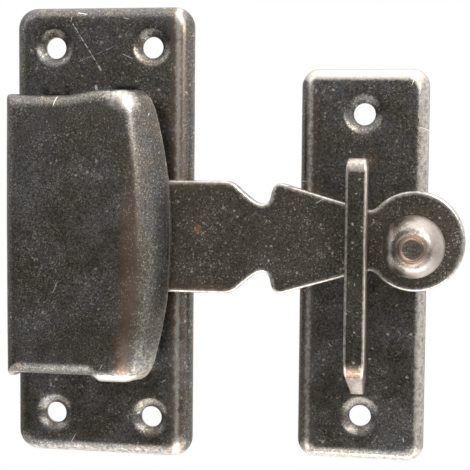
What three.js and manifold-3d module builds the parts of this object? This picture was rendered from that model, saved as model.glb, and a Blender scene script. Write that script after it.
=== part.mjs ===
// Lift latch for a light door: a latch plate with a boxed pivot and a drop bar, and a separate
// keeper with an upright hook. Millimetres. The pieces are drawn lying on their backs, as they
// would on a bench: x to the right, y up the door, z proud of the door's face. One group at the
// end stands the set up, so that +Z is up and the latch looks along -Y. The origin is on the
// door's face, behind the middle of the latch plate.
import * as THREE from 'three';
import { mergeVertices } from 'three/addons/utils/BufferGeometryUtils.js';
import Module from 'manifold-3d';

const wasm = await Module();
wasm.setup();

// Driving dimensions
const GAP = 0.3; // between pieces that touch
const EDGE_BEVEL = 0.4; // on the flat pieces
const PRESSED = { proud: 3.5, sheet: 1.6, roll: 3 }; // both plates are shallow pans, hollow behind
const LATCH_PLATE = { width: 40.4, height: 100, corner: 4.5, screwX: 11.1, screwY: 41.1 };
const KEEPER_PLATE = { x: 57.8, y: -6, width: 27.4, height: 84.8, corner: 3.8, screwY: 32.7 };
const SCREW = { radius: 2.35, sinkRadius: 4.35, sinkDepth: 1.2 };
const BAR = { back: 5, thick: 3, halfWidth: 12.15, tail: 10.4, discX: 69, disc: 10.6 };
const PIVOT = { x: -6, shank: 3, head: 4.8, headThick: 2.2, tail: 4.6, ring: 6.4, ringThick: 0.9 };
const STOP = { x: 9, radius: 2.6, spigot: 1.8, tail: 2.9 };
const CASE = { sheet: 1.2, left: -18.6, right: 17.3, proud: 16, cheek: 9.4, roll: 3, corner: 4 };
const CASE_HEIGHT = { left: 30.2, right: 31.5, flareFrom: -4, flareTo: 3, flareEase: 2.5 };
const CASE_OPEN_X = 9; // the walls stop here, and the bar comes out past them
// The case's right side leans in by slope from its free edge to the front, the last of it in a
// rounded brow. Its middle stands out past its corners by bulge, and by flatter less at the front.
const LEAN = { slope: 7.9, even: 0.72, browPower: 8, bulge: 3.6, flatter: 1.4, sheetShare: 1.4 };
const TAB = { width: 5, foot: 3, xs: [-10.5, 5] };
const HOOK = { x: 57.3, thick: 4, tip: 17.4, front: 16, armBack: 9, seat: -8, foot: -33.6 };
const HEEL = { above: 5.4, back: 1.2, bendBy: 0.8, bendEnd: 1.8 }; // where the foot meets the arm
const TENON = { width: 2.6, length: 4, low: 1, high: 6, headGrow: 0.9, ys: [-12.5, -25.5] };
const KNOB = { radius: 6.5, neck: 3.9, face: 2.35, proud: 20.6, spigot: 2.2, sink: 1.1, drop: 0.7 };
const REAR_HEAD = { low: 0.4, high: PRESSED.proud - PRESSED.sheet - GAP }; // riveted ends behind

// Finishes
const darkSteel = { color: 0x413c38, roughness: 0.48, metalness: 0.85 };
const barSteel = { color: 0x443f38, roughness: 0.5, metalness: 0.85 };
const rubbedSteel = { color: 0xa79a90, roughness: 0.3, metalness: 0.95 };
const plainSteel = { color: 0x6d6a66, roughness: 0.45, metalness: 0.9 };

function toSolid(geometry) {
  const bare = geometry.clone();
  bare.deleteAttribute('normal');
  bare.deleteAttribute('uv');
  const merged = mergeVertices(bare, 1e-4);
  const index = merged.index.array;
  const triangles = [];
  for (let i = 0; i < index.length; i += 3) {
    const [a, b, c] = [index[i], index[i + 1], index[i + 2]];
    if (a !== b && b !== c && c !== a) triangles.push(a, b, c);
  }
  return new wasm.Manifold(new wasm.Mesh({
    numProp: 3,
    vertProperties: new Float32Array(merged.attributes.position.array),
    triVerts: new Uint32Array(triangles),
  }));
}

function toGeometry(solid) {
  const { vertProperties, triVerts, numProp } = solid.getMesh();
  const positions = new Float32Array((vertProperties.length / numProp) * 3);
  for (let i = 0; i < positions.length / 3; i += 1) {
    for (let k = 0; k < 3; k += 1) positions[i * 3 + k] = vertProperties[i * numProp + k];
  }
  const geometry = new THREE.BufferGeometry();
  geometry.setAttribute('position', new THREE.BufferAttribute(positions, 3));
  geometry.setIndex(new THREE.BufferAttribute(new Uint32Array(triVerts), 1));
  geometry.computeVertexNormals();
  return geometry;
}

const joined = (first, ...others) => others.reduce((all, one) => all.add(toSolid(one)), first);

const cut = (first, ...tools) => tools.reduce((left, one) => left.subtract(toSolid(one)), first);

// A box between two corners.
function block(low, high) {
  const size = high.map((value, k) => value - low[k]);
  const box = new THREE.BoxGeometry(...size);
  return box.translate(...low.map((value, k) => value + size[k] / 2));
}

// A turned piece standing on z. The profile lists [radius, z] from the axis back to the axis.
function turned(profile, x, y, segments = 40) {
  const lathe = new THREE.LatheGeometry(profile.map(([r, z]) => new THREE.Vector2(r, z)), segments);
  return lathe.rotateX(Math.PI / 2).translate(x, y, 0);
}

// A flat ring with a square section.
function ring(inner, outer, low, high, x) {
  return turned([[inner, low], [outer, low], [outer, high], [inner, high], [inner, low]], x, 0);
}

// Joins outlines of equal point count, stacked from the lowest to the highest, into one solid.
function loft(rings) {
  const count = rings[0].points.length;
  const positions = rings.flatMap(({ points, z }) => points.flatMap((p) => [p.x, p.y, z]));
  const index = [];
  for (let level = 0; level < rings.length - 1; level += 1) {
    for (let i = 0; i < count; i += 1) {
      const a = level * count + i;
      const b = level * count + ((i + 1) % count);
      index.push(a, b, b + count, a, b + count, a + count);
    }
  }
  const capAt = (level, flip) => {
    const base = level * count;
    THREE.ShapeUtils.triangulateShape(rings[level].points, []).forEach(([a, b, c]) => {
      index.push(base + a, base + (flip ? c : b), base + (flip ? b : c));
    });
  };
  capAt(0, true);
  capAt(rings.length - 1, false);
  const geometry = new THREE.BufferGeometry();
  geometry.setAttribute('position', new THREE.Float32BufferAttribute(positions, 3));
  geometry.setIndex(index);
  return toSolid(geometry);
}

// Heights and inward steps of an edge rolled to a radius, with its top at height top.
function rolledEdge(bottom, top, radius, steps = 5) {
  const levels = [{ z: bottom, inset: 0 }];
  for (let i = 0; i <= steps; i += 1) {
    const turn = (i / steps) * (Math.PI / 2);
    levels.push({
      z: top - radius + radius * Math.sin(turn),
      inset: radius * (1 - Math.cos(turn)),
    });
  }
  return levels;
}

function roundedRectangle(width, height, corner, x, y) {
  const points = [];
  const steps = 5;
  [[1, -1], [1, 1], [-1, 1], [-1, -1]].forEach(([sx, sy], quarter) => {
    for (let i = 0; i <= steps; i += 1) {
      const angle = ((quarter - 1) + i / steps) * (Math.PI / 2);
      points.push(new THREE.Vector2(
        x + sx * (width / 2 - corner) + corner * Math.cos(angle),
        y + sy * (height / 2 - corner) + corner * Math.sin(angle),
      ));
    }
  });
  return points;
}

// A pan-shaped pressing with rolled edges, standing on its rim and hollow behind.
function pressedPlate({ width, height, corner, x = 0, y = 0 }) {
  const { proud, sheet, roll } = PRESSED;
  const skin = (inset, bottom, top, radius) => loft(
    rolledEdge(bottom, top, radius).map((level) => {
      const step = inset + level.inset;
      const outline = [width - 2 * step, height - 2 * step, corner - step];
      return { z: level.z, points: roundedRectangle(...outline, x, y) };
    }),
  );
  return skin(0, 0, proud, roll).subtract(skin(sheet, -1, proud - sheet, roll - sheet));
}

function screwHole(x, y) {
  const { radius, sinkRadius, sinkDepth } = SCREW;
  const face = PRESSED.proud;
  const over = 0.5;
  const flare = over * ((sinkRadius - radius) / sinkDepth);
  return turned(
    [[0, -1], [radius, -1], [radius, face - sinkDepth], [sinkRadius + flare, face + over],
      [0, face + over]],
    x,
    y,
    32,
  );
}

const plainHole = (radius, x, y, high = PRESSED.proud + 1) => turned(
  [[0, -1], [radius, -1], [radius, high], [0, high]],
  x,
  y,
  32,
);

// Half the height of the case at a place along x: it flares a little towards the bar.
function caseHalfHeight(x) {
  const { left, right, flareFrom, flareTo } = CASE_HEIGHT;
  return left + (right - left) * THREE.MathUtils.smoothstep(x, flareFrom, flareTo);
}

function latchPlate() {
  const { screwX, screwY } = LATCH_PLATE;
  const holes = [[-screwX, screwY], [screwX, screwY], [-screwX, -screwY], [screwX, -screwY]];
  const slots = [];
  TAB.xs.forEach((x) => [-1, 1].forEach((side) => {
    const outer = caseHalfHeight(x) + GAP;
    const inner = caseHalfHeight(x) - CASE.sheet - GAP;
    const half = TAB.width / 2 + GAP;
    const [y0, y1] = side > 0 ? [inner, outer] : [-outer, -inner];
    slots.push(block([x - half, y0, -1], [x + half, y1, PRESSED.proud + 1]));
  }));
  return cut(
    pressedPlate(LATCH_PLATE),
    ...holes.map(([x, y]) => screwHole(x, y)),
    ...slots,
    plainHole(PIVOT.shank + GAP, PIVOT.x, 0),
    plainHole(STOP.spigot + GAP, STOP.x, stopY()),
  );
}

// The stop pin sits just under the lower edge of the resting bar.
function stopY() {
  return -BAR.halfWidth - GAP - STOP.radius;
}

// The outline of the case at one level: step is how far its walls have rolled in, and reach is
// how far its sloping right side stands out at mid height.
function caseOutline(step, reach, bulge) {
  const { flareFrom, flareTo, flareEase } = CASE_HEIGHT;
  const left = CASE.left + step;
  const low = CASE_HEIGHT.left - step;
  const high = CASE_HEIGHT.right - step;
  const side = reach - bulge;
  const corner = Math.min(CASE.corner, side - flareTo - 0.2);
  const [leave, arrive] = [flareFrom + flareEase, flareTo - flareEase];
  const shape = new THREE.Shape();
  shape.moveTo(left, -low);
  shape.lineTo(flareFrom, -low);
  shape.bezierCurveTo(leave, -low, arrive, -high, flareTo, -high);
  shape.lineTo(side - corner, -high);
  shape.quadraticCurveTo(side, -high, side, -high + corner);
  shape.quadraticCurveTo(reach + bulge, 0, side, high - corner);
  shape.quadraticCurveTo(side, high, side - corner, high);
  shape.lineTo(flareTo, high);
  shape.bezierCurveTo(arrive, high, leave, low, flareFrom, low);
  shape.lineTo(left, low);
  shape.closePath();
  const points = shape.getPoints(8);
  points.pop();
  return points;
}

// The case's skin, outer or inner: the sheet's thickness is taken off for the inner one.
function caseSkin(thickness, bottom) {
  const top = CASE.proud - thickness;
  const reach = CASE.right - LEAN.sheetShare * thickness;
  const levels = rolledEdge(bottom, top, CASE.roll - thickness);
  levels.splice(1, 0, { z: CASE.cheek, inset: 0 });
  return loft(levels.map(({ z, inset }) => {
    const rise = Math.max(0, (z - CASE.cheek) / (top - CASE.cheek));
    const lean = LEAN.even * rise + (1 - LEAN.even) * rise ** LEAN.browPower;
    const bulge = LEAN.bulge - LEAN.flatter * rise;
    return { z, points: caseOutline(thickness + inset, reach - LEAN.slope * lean, bulge) };
  }));
}

// A strip that drops from the wall through the plate and is folded over behind it.
function caseTab(x, side) {
  const half = TAB.width / 2;
  const outer = caseHalfHeight(x);
  const inner = outer - CASE.sheet;
  const span = (low, high) => (side > 0 ? [low, high] : [-high, -low]);
  const [dropLow, dropHigh] = span(inner, outer);
  const [footLow, footHigh] = span(inner - TAB.foot, outer);
  const wall = PRESSED.proud + 1.5;
  return [
    block([x - half, dropLow, REAR_HEAD.low], [x + half, dropHigh, wall]),
    block([x - half, footLow, REAR_HEAD.low], [x + half, footHigh, REAR_HEAD.high]),
  ];
}

function caseCover() {
  const base = PRESSED.proud + GAP;
  const shell = caseSkin(0, base).subtract(caseSkin(CASE.sheet, base - 2));
  const mouth = block([CASE_OPEN_X, -40, 0], [CASE.right + 5, 40, CASE.cheek]);
  const tabs = TAB.xs.flatMap((x) => [-1, 1].flatMap((side) => caseTab(x, side)));
  return joined(cut(shell, mouth), ...tabs);
}

function pivotRivet() {
  const { shank, head, headThick, tail, x } = PIVOT;
  const seat = BAR.back + BAR.thick + 2 * GAP + PIVOT.ringThick;
  const crown = seat + GAP;
  return toSolid(turned(
    [[0, REAR_HEAD.low], [tail - 1, REAR_HEAD.low], [tail, REAR_HEAD.low + 0.6],
      [tail, REAR_HEAD.high], [shank, REAR_HEAD.high], [shank, crown], [head, crown],
      [head, crown + 0.7], [head * 0.8, crown + headThick * 0.8], [head * 0.4, crown + headThick],
      [0, crown + headThick]],
    x,
    0,
  ));
}

function stopPin() {
  const { radius, spigot, tail, x } = STOP;
  const seat = PRESSED.proud + GAP;
  const top = BAR.back + BAR.thick;
  return toSolid(turned(
    [[0, REAR_HEAD.low], [tail, REAR_HEAD.low], [tail, REAR_HEAD.high],
      [spigot, REAR_HEAD.high], [spigot, seat], [radius, seat], [radius, top - 0.5],
      [radius - 0.5, top], [0, top]],
    x,
    stopY(),
    28,
  ));
}

function pivotRing(low) {
  return toSolid(ring(PIVOT.shank + GAP, PIVOT.ring, low, low + PIVOT.ringThick, PIVOT.x));
}

// The upper edge of the bar from its tail to its disc. side is 1 above and -1 below.
function barEdge(shape, side) {
  const w = BAR.halfWidth;
  const joinAngle = Math.PI * 0.76;
  const join = [
    BAR.discX + BAR.disc * Math.cos(joinAngle),
    BAR.disc * Math.sin(joinAngle),
  ];
  const line = (x, y) => shape.lineTo(x, side * y);
  const bend = (x1, y1, x2, y2) => shape.quadraticCurveTo(x1, side * y1, x2, side * y2);
  line(PIVOT.x + 1, BAR.tail);
  line(6, w);
  line(28.2, w);
  bend(30.4, w, 32, 10.3);
  line(34.2, 8.5);
  shape.bezierCurveTo(36.2, side * 6.9, 38.1, side * 6.7, 38.5, side * 9.2);
  shape.bezierCurveTo(38.9, side * 11.3, 39.7, side * 12.4, 42.2, side * 11.45);
  line(59.2, 6.5);
  bend(60.3, 6.25, join[0], join[1]);
  return joinAngle;
}

// How a flat piece of some thickness is extruded, with its edges broken inside its outline.
function bevelled(thickness) {
  return {
    depth: thickness - 2 * EDGE_BEVEL,
    bevelThickness: EDGE_BEVEL,
    bevelSize: EDGE_BEVEL,
    bevelOffset: -EDGE_BEVEL,
    bevelSegments: 2,
  };
}

function latchBar() {
  const upper = new THREE.Shape();
  upper.moveTo(PIVOT.x, 0);
  upper.absarc(PIVOT.x, 0, BAR.tail, Math.PI, Math.PI / 2, true);
  const joinAngle = barEdge(upper, 1);
  upper.absarc(BAR.discX, 0, BAR.disc, joinAngle, 0, true);
  const half = upper.getPoints(7).slice(1);
  const mirrored = half.slice(1, -1).reverse().map((p) => new THREE.Vector2(p.x, -p.y));
  const outline = new THREE.Shape([...half, ...mirrored].reverse());
  const plate = new THREE.ExtrudeGeometry(outline, bevelled(BAR.thick));
  plate.translate(0, 0, BAR.back + EDGE_BEVEL);
  const radius = KNOB.spigot + GAP;
  const sink = turned(
    [[0, BAR.back - 1], [radius + KNOB.sink + 1, BAR.back - 1], [radius, BAR.back + KNOB.sink],
      [radius, BAR.back + BAR.thick + 1], [0, BAR.back + BAR.thick + 1]],
    BAR.discX,
    -KNOB.drop,
    32,
  );
  return cut(toSolid(plate), plainHole(PIVOT.shank + GAP, PIVOT.x, 0, 20), sink);
}

// A turned mushroom knob, a little below the disc's centre. Its spigot goes through the bar and
// is riveted flush behind it.
function knob() {
  const { radius, neck, face, proud, spigot, sink } = KNOB;
  const seat = BAR.back + BAR.thick + GAP;
  return toSolid(turned(
    [[0, BAR.back], [spigot + sink, BAR.back], [spigot, BAR.back + sink], [spigot, seat],
      [neck, seat], [neck, seat + 1.2], [neck + 1.2, seat + 2.6], [radius - 0.3, seat + 3.6],
      [radius, seat + 4.3], [radius, seat + 4.9], [radius - 0.4, seat + 6.6],
      [radius - 1.3, seat + 8.6], [radius - 2.4, proud - 2.1], [face + 0.9, proud - 1.1],
      [face + 0.4, proud - 0.3], [face, proud], [0, proud]],
    BAR.discX,
    -KNOB.drop,
    48,
  ));
}

function keeperPlate() {
  const { x, y, screwY } = KEEPER_PLATE;
  const slots = TENON.ys.map((centre) => block(
    [HOOK.x - TENON.width / 2 - GAP, centre - TENON.length / 2 - GAP, -1],
    [HOOK.x + TENON.width / 2 + GAP, centre + TENON.length / 2 + GAP, PRESSED.proud + 1],
  ));
  return cut(
    pressedPlate(KEEPER_PLATE),
    screwHole(x, y + screwY),
    screwHole(x, y - screwY),
    ...slots,
  );
}

// The hook's side view, drawn with x proud of the door and y up: a web that stands on the plate
// and an arm in front of the bar, with the mouth open at the top.
function hookOutline() {
  const { tip, front, armBack, seat, foot } = HOOK;
  const back = PRESSED.proud + GAP;
  const mouth = (armBack - back) / 2;
  const heel = foot + HEEL.above;
  const shape = new THREE.Shape();
  shape.moveTo(back, foot);
  shape.lineTo(front - HEEL.back, heel);
  shape.quadraticCurveTo(front, heel + HEEL.bendBy, front, heel + HEEL.bendEnd);
  shape.lineTo(front, tip - 3);
  shape.quadraticCurveTo(front, tip - 0.8, front - 2.2, tip);
  shape.lineTo(front - 4.6, tip);
  shape.quadraticCurveTo(armBack + 1, tip - 0.4, armBack, tip - 3.2);
  shape.lineTo(armBack, seat + mouth);
  shape.quadraticCurveTo(armBack, seat, armBack - mouth, seat);
  shape.lineTo(back, seat);
  shape.closePath();
  return shape;
}

function keeperHook() {
  const web = new THREE.ExtrudeGeometry(
    hookOutline(),
    { ...bevelled(HOOK.thick), curveSegments: 6 },
  );
  web.rotateY(-Math.PI / 2).translate(HOOK.x + HOOK.thick / 2 - EDGE_BEVEL, 0, 0);
  const tenons = TENON.ys.flatMap((y) => {
    const half = [TENON.width / 2, TENON.length / 2];
    const grown = half.map((value) => value + TENON.headGrow);
    return [
      block(
        [HOOK.x - half[0], y - half[1], TENON.low],
        [HOOK.x + half[0], y + half[1], TENON.high],
      ),
      block(
        [HOOK.x - grown[0], y - grown[1], REAR_HEAD.low],
        [HOOK.x + grown[0], y + grown[1], REAR_HEAD.high],
      ),
    ];
  });
  return joined(toSolid(web), ...tenons);
}

function piece(name, solid, finish) {
  const mesh = new THREE.Mesh(toGeometry(solid), new THREE.MeshStandardMaterial(finish));
  mesh.name = name;
  return mesh;
}

const spacerLow = PRESSED.proud + GAP;
const washerLow = BAR.back + BAR.thick + GAP;
const liftLatch = new THREE.Group();
liftLatch.add(
  piece('latch_plate', latchPlate(), darkSteel),
  piece('case_cover', caseCover(), darkSteel),
  piece('pivot_rivet', pivotRivet(), plainSteel),
  piece('pivot_spacer', pivotRing(spacerLow), plainSteel),
  piece('pivot_washer', pivotRing(washerLow), plainSteel),
  piece('stop_pin', stopPin(), plainSteel),
  piece('latch_bar', latchBar(), barSteel),
  piece('knob', knob(), rubbedSteel),
  piece('keeper_plate', keeperPlate(), darkSteel),
  piece('keeper_hook', keeperHook(), darkSteel),
);
liftLatch.rotation.x = Math.PI / 2;

export default liftLatch;
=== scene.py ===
"""Lift latch for a light door, laid out as a small Blender add-on and run as a script.

The packed model is the fixed frame: every piece is built round the places of its own solids.
Pieces are drawn in metres, but the profiles of turned pieces in millimetres. A piece seen from
the front is drawn with u to the right, v up and w proud of the door; one seen from its side has
u proud of the door, v up and w to the right.
Two values are painted on each piece's points: wear, where handling has rubbed the metal
bright and also where painted highlights and painted shade stand in for light, and tint, where
the heat of the blackening has left it copper brown.
"""
import math
from collections import namedtuple

import bmesh
import bpy
from bpy.props import (
    FloatProperty, FloatVectorProperty, IntProperty, PointerProperty,
)
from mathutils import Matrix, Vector, noise
from mathutils.geometry import delaunay_2d_cdt
from mathutils.kdtree import KDTree


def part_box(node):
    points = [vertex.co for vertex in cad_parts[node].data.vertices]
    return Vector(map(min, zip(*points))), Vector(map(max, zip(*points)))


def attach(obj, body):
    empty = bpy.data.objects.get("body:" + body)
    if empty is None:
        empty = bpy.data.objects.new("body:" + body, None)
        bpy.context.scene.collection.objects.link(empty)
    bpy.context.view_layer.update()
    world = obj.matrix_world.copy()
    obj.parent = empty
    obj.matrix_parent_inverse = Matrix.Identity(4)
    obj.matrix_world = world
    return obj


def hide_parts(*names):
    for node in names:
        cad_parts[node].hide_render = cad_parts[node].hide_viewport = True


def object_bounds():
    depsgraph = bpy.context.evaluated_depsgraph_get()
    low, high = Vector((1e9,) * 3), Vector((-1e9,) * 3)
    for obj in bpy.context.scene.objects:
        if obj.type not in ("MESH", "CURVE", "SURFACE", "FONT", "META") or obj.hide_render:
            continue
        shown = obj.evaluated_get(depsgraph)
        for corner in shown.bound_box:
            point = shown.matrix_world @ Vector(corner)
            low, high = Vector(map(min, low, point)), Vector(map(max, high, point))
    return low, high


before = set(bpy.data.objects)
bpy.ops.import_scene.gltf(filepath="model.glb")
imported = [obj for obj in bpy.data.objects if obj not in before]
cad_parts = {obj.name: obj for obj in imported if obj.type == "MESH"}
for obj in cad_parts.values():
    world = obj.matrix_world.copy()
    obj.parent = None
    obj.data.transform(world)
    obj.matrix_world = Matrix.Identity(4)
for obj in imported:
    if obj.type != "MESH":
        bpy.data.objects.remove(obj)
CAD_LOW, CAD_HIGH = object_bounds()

bl_info = {
    "name": "Lift latch",
    "version": (1, 0, 0),
    "blender": (4, 5, 0),
    "location": "3D View > Sidebar > Latch",
    "description": "Builds a pressed steel lift latch with its keeper and a plain studio",
    "category": "Add Mesh",
}

MM = 0.001
GAP = 0.3 * MM  # between pieces that touch
BEHIND_SHEET = 1.9 * MM  # from a plate's face to what is riveted or folded behind its sheet

Sides = namedtuple("Sides", "left right low high back front")


def sides_of(node):
    """The outer limits of a solid of the frame, as seen from the front of the door."""
    low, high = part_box(node)
    return Sides(low.x, high.x, low.z, high.z, -high.y, -low.y)


def middle_of(node):
    """The middle of a solid of the frame, as seen from the front of the door."""
    sides = sides_of(node)
    return Vector(((sides.left + sides.right) / 2, (sides.low + sides.high) / 2))


# ---------------------------------------------------------------------------- outlines

def line(start, end, count):
    """Points from start up to, and without, end."""
    start, end = Vector(start), Vector(end)
    return [start.lerp(end, i / count) for i in range(count)]


def bend(start, control, end, count):
    """A quadratic curve from start up to, and without, end."""
    start, control, end = Vector(start), Vector(control), Vector(end)
    steps = [i / count for i in range(count)]
    return [start.lerp(control, t).lerp(control.lerp(end, t), t) for t in steps]


def swing(start, first, second, end, count):
    """A cubic curve from start up to, and without, end."""
    start, first, second, end = (Vector(p) for p in (start, first, second, end))
    points = []
    for i in range(count):
        t = i / count
        a, b, c = start.lerp(first, t), first.lerp(second, t), second.lerp(end, t)
        points.append(a.lerp(b, t).lerp(b.lerp(c, t), t))
    return points


def path(start, *moves):
    """Points along one move after another, each a count and then the stops that it goes to.

    One stop makes a line, two a bend and three a swing.
    """
    points = []
    for count, *stops in moves:
        points += (line, bend, swing)[len(stops) - 1](start, *stops, count)
        start = stops[-1]
    return points


def arc(centre, radius, first, last, count):
    """Points round a centre from one angle in degrees up to, and without, another."""
    angles = [math.radians(first + (last - first) * i / count) for i in range(count)]
    return [Vector(centre) + radius * Vector((math.cos(a), math.sin(a))) for a in angles]


def circle(centre, radius, count=48):
    return arc(centre, radius, 0, 360, count)


def rounded_rectangle(sides, depth, corner, pitch=2.5 * MM, steps=9):
    """A counter-clockwise rectangle, stepped in by depth, with round corners."""
    left, right = sides.left + depth + corner, sides.right - depth - corner
    low, high = sides.low + depth + corner, sides.high - depth - corner
    across = max(1, round((sides.right - sides.left) / pitch))
    along = max(1, round((sides.high - sides.low) / pitch))
    corners = [((right, low), -90, along), ((right, high), 0, across),
               ((left, high), 90, along), ((left, low), 180, across)]
    points = []
    for i, (centre, turn, count) in enumerate(corners):
        following, next_turn, _ = corners[(i + 1) % 4]
        end = arc(centre, corner, turn + 90, turn + 90, 1)[0]
        start = arc(following, corner, next_turn, next_turn, 1)[0]
        points += arc(centre, corner, turn, turn + 90, steps) + line(end, start, count)
    return points


def box_outline(centre, half_width, half_height, corner):
    """A small rounded rectangle round a centre, with no points along its sides."""
    x, y = centre
    sides = Sides(x - half_width, x + half_width, y - half_height, y + half_height, 0, 0)
    return rounded_rectangle(sides, 0, corner, pitch=1.0, steps=4)


def inward(outline):
    """The inward direction at each point of a counter-clockwise outline."""
    ways = []
    for i, before in enumerate(outline):
        along = (outline[(i + 2) % len(outline)] - before).normalized()
        ways.append(Vector((-along.y, along.x)))
    return ways[-1:] + ways[:-1]


def quarter(steps):
    """Angles from nothing to a quarter turn."""
    return [math.radians(90 * i / steps) for i in range(steps + 1)]


def inset(outline, depth):
    """A counter-clockwise outline moved inwards by a depth."""
    return [point + depth * way for point, way in zip(outline, inward(outline))]


def room_inside(outline):
    """The radius of the largest circle that fits inside an outline at each of its points."""
    rooms = []
    for point, way in zip(outline, inward(outline)):
        reaches = ((other - point, (other - point).dot(way)) for other in outline)
        rooms.append(min(gap.length_squared / (2 * ahead)
                         for gap, ahead in reaches if ahead > 1e-9))
    return rooms


def ease(t):
    """0 to 1 with level ends."""
    t = min(1.0, max(0.0, t))
    return t * t * (3 - 2 * t)


def between(value, low, high):
    """How far value has gone from low to high, eased at both ends."""
    return ease((value - low) / (high - low))


# ---------------------------------------------------------------------------- shells

def seen_from_front(u, v, w):
    return (u, -w, v)


def seen_from_side(u, v, w):
    return (w, -u, v)


class Shell:
    """The points, faces and painted values of one closed surface."""

    def __init__(self, place=seen_from_front):
        self.place = place
        self.points = []
        self.faces = []
        self.wear = []
        self.tint = []

    def ring(self, outline, w, wear=0.0, tint=0.0):
        """Adds an outline at one height, or at a height for each point."""
        heights = w if isinstance(w, list) else [w] * len(outline)
        first = len(self.points)
        self.points += [Vector((p[0], p[1], h)) for p, h in zip(outline, heights)]
        self.wear += [wear] * len(outline)
        self.tint += [tint] * len(outline)
        return list(range(first, first + len(outline)))

    def bridge(self, *rings):
        """Joins each ring to the next with four-sided faces."""
        for one, other in zip(rings, rings[1:]):
            for i, a in enumerate(one):
                j = (i + 1) % len(one)
                self.faces.append((a, one[j], other[j], other[i]))

    def cap(self, rim, holes, pitch, height):
        """Fills the space between a rim and its holes with even triangles.

        height is a number, or a function of u and v.
        """
        flat, faces = [], []
        for loop in (rim, *holes):
            faces.append(list(range(len(flat), len(flat) + len(loop))))
            flat += [Vector(self.points[i][:2]) / MM for i in loop]
        edge = KDTree(len(flat))
        for i, point in enumerate(flat):
            edge.insert(point.to_3d(), i)
        edge.balance()
        known = [i for loop in (rim, *holes) for i in loop]
        low = [min(p[k] for p in flat) for k in (0, 1)]
        high = [max(p[k] for p in flat) for k in (0, 1)]
        step = pitch / MM
        for row in range(1, int((high[1] - low[1]) / step) + 1):
            for column in range(1, int((high[0] - low[0]) / step) + 1):
                shift = 0.5 * (row % 2)
                point = Vector((low[0] + (column - shift) * step, low[1] + row * step))
                if edge.find(point.to_3d())[2] > 0.6 * step:
                    flat.append(point)
        found, _, triangles, origins, _, owners = delaunay_2d_cdt(flat, [], faces, 0, 1e-5)
        names = {}
        for triangle, owner in zip(triangles, owners):
            if owner != [0]:
                continue
            for i in triangle:
                if i in names:
                    continue
                source = [k for k in origins[i] if k < len(known)]
                if source:
                    names[i] = known[source[0]]
                else:
                    place = found[i] * MM
                    level = height(*place) if callable(height) else height
                    names[i] = self.ring([place], level)[0]
            self.faces.append(tuple(names[i] for i in triangle))

    def pierce(self, levels):
        """A hole through the shell, as outlines from its first mouth to its last."""
        rings = [self.ring(outline, w, wear) for outline, w, wear in levels]
        self.bridge(*rings)
        return rings[0], rings[-1]

    def paint(self, rule):
        """Raises wear and tint to what a rule gives for each point."""
        for i, point in enumerate(self.points):
            wear, tint = rule(*point)
            self.wear[i] = max(self.wear[i], wear)
            self.tint[i] = max(self.tint[i], tint)

    def ripple(self, depth, size, front):
        """Slightly uneven, as pressed sheet is: nothing at the back, most at the front."""
        for point in self.points:
            wave = noise.noise(Vector((point.x / size, point.y / size, 0.0)))
            point.z += depth * wave * min(1.0, max(0.0, point.z / front))

    def build(self, name, material):
        """The shell as an object whose place is in its mesh, with its faces out."""
        mesh = bpy.data.meshes.new(name)
        mesh.from_pydata([self.place(*p) for p in self.points], [], self.faces)
        face_outwards(mesh)
        paint_points(mesh, wear=self.wear, tint=self.tint)
        mesh.shade_smooth()
        mesh.materials.append(material)
        return show(name, mesh)


def face_outwards(mesh):
    surface = bmesh.new()
    surface.from_mesh(mesh)
    bmesh.ops.recalc_face_normals(surface, faces=surface.faces)
    surface.to_mesh(mesh)
    surface.free()


def paint_points(mesh, **painted):
    """Stores a named value on each point."""
    for name, values in painted.items():
        attribute = mesh.attributes.new(name, "FLOAT", "POINT")
        attribute.data.foreach_set("value", values)


def show(name, mesh):
    made = bpy.data.objects.new(name, mesh)
    bpy.context.scene.collection.objects.link(made)
    return made


def settle(piece, node, body):
    """The piece stands for its solid and rides on its body."""
    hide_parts(node)
    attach(piece, body)


# Wear on a rounded edge, then at distances in mm from it.
RUB_STEPS = ((0.0, 0.84), (0.35, 0.66), (0.8, 0.43), (1.6, 0.0))
FINE_RUB = ((0.0, 0.72), (0.2, 0.45), (0.5, 0.2), (1.0, 0.0))
THIN_RUB = ((0.0, 0.88), (0.1, 0.6))


def rounded_edges(low, high, edge, rub):
    """How far a slab's outline steps in at each height, with the wear there."""
    (_, corner_wear), *beyond = rub
    face = [(edge + reach * MM, 0.0, wear) for reach, wear in reversed(beyond)]
    corner = [(edge * (1 - math.sin(turn)), edge * (1 - math.cos(turn)), corner_wear)
              for turn in quarter(5)]
    room = (high - low) / 2 - edge
    side = [(0.0, edge + reach * MM, wear) for reach, wear in beyond if reach * MM < room]
    half = face + corner + side
    lower = [(depth, low + rise, wear) for depth, rise, wear in half]
    upper = [(depth, high - rise, wear) for depth, rise, wear in reversed(half)]
    return lower + upper


def slab(outline, low, high, edge, place=seen_from_front, holes=(), pitch=1.2 * MM,
         profile=lambda point, w: w, rub=RUB_STEPS):
    """A flat piece with rounded, rubbed edges, finer where it is narrow.

    profile gives each point's own height for a level.
    """
    shell = Shell(place)
    rings = []
    ways, rooms = inward(outline), room_inside(outline)
    levels = rounded_edges(low, high, edge, rub)
    deepest = levels[0][0]
    for depth, w, wear in levels:
        points = []
        for point, way, room in zip(outline, ways, rooms):
            bend_room = min(edge, 0.5 * room)
            rub_room = min(deepest - edge, 0.9 * room - bend_room)
            step = bend_room * min(1.0, depth / edge)
            if depth > edge:
                step += rub_room * (depth - edge) / (deepest - edge)
            points.append(point + step * way)
        rings.append(shell.ring(points, [profile(p, w) for p in points], wear))
    shell.bridge(*rings)
    mouths = [shell.pierce(levels) for levels in holes]
    for end, w in ((0, low), (-1, high)):
        shell.cap(rings[end], [mouth[end] for mouth in mouths], pitch,
                  lambda u, v: profile(Vector((u, v)), w))
    return shell


# ---------------------------------------------------------------------------- node helpers

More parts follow.
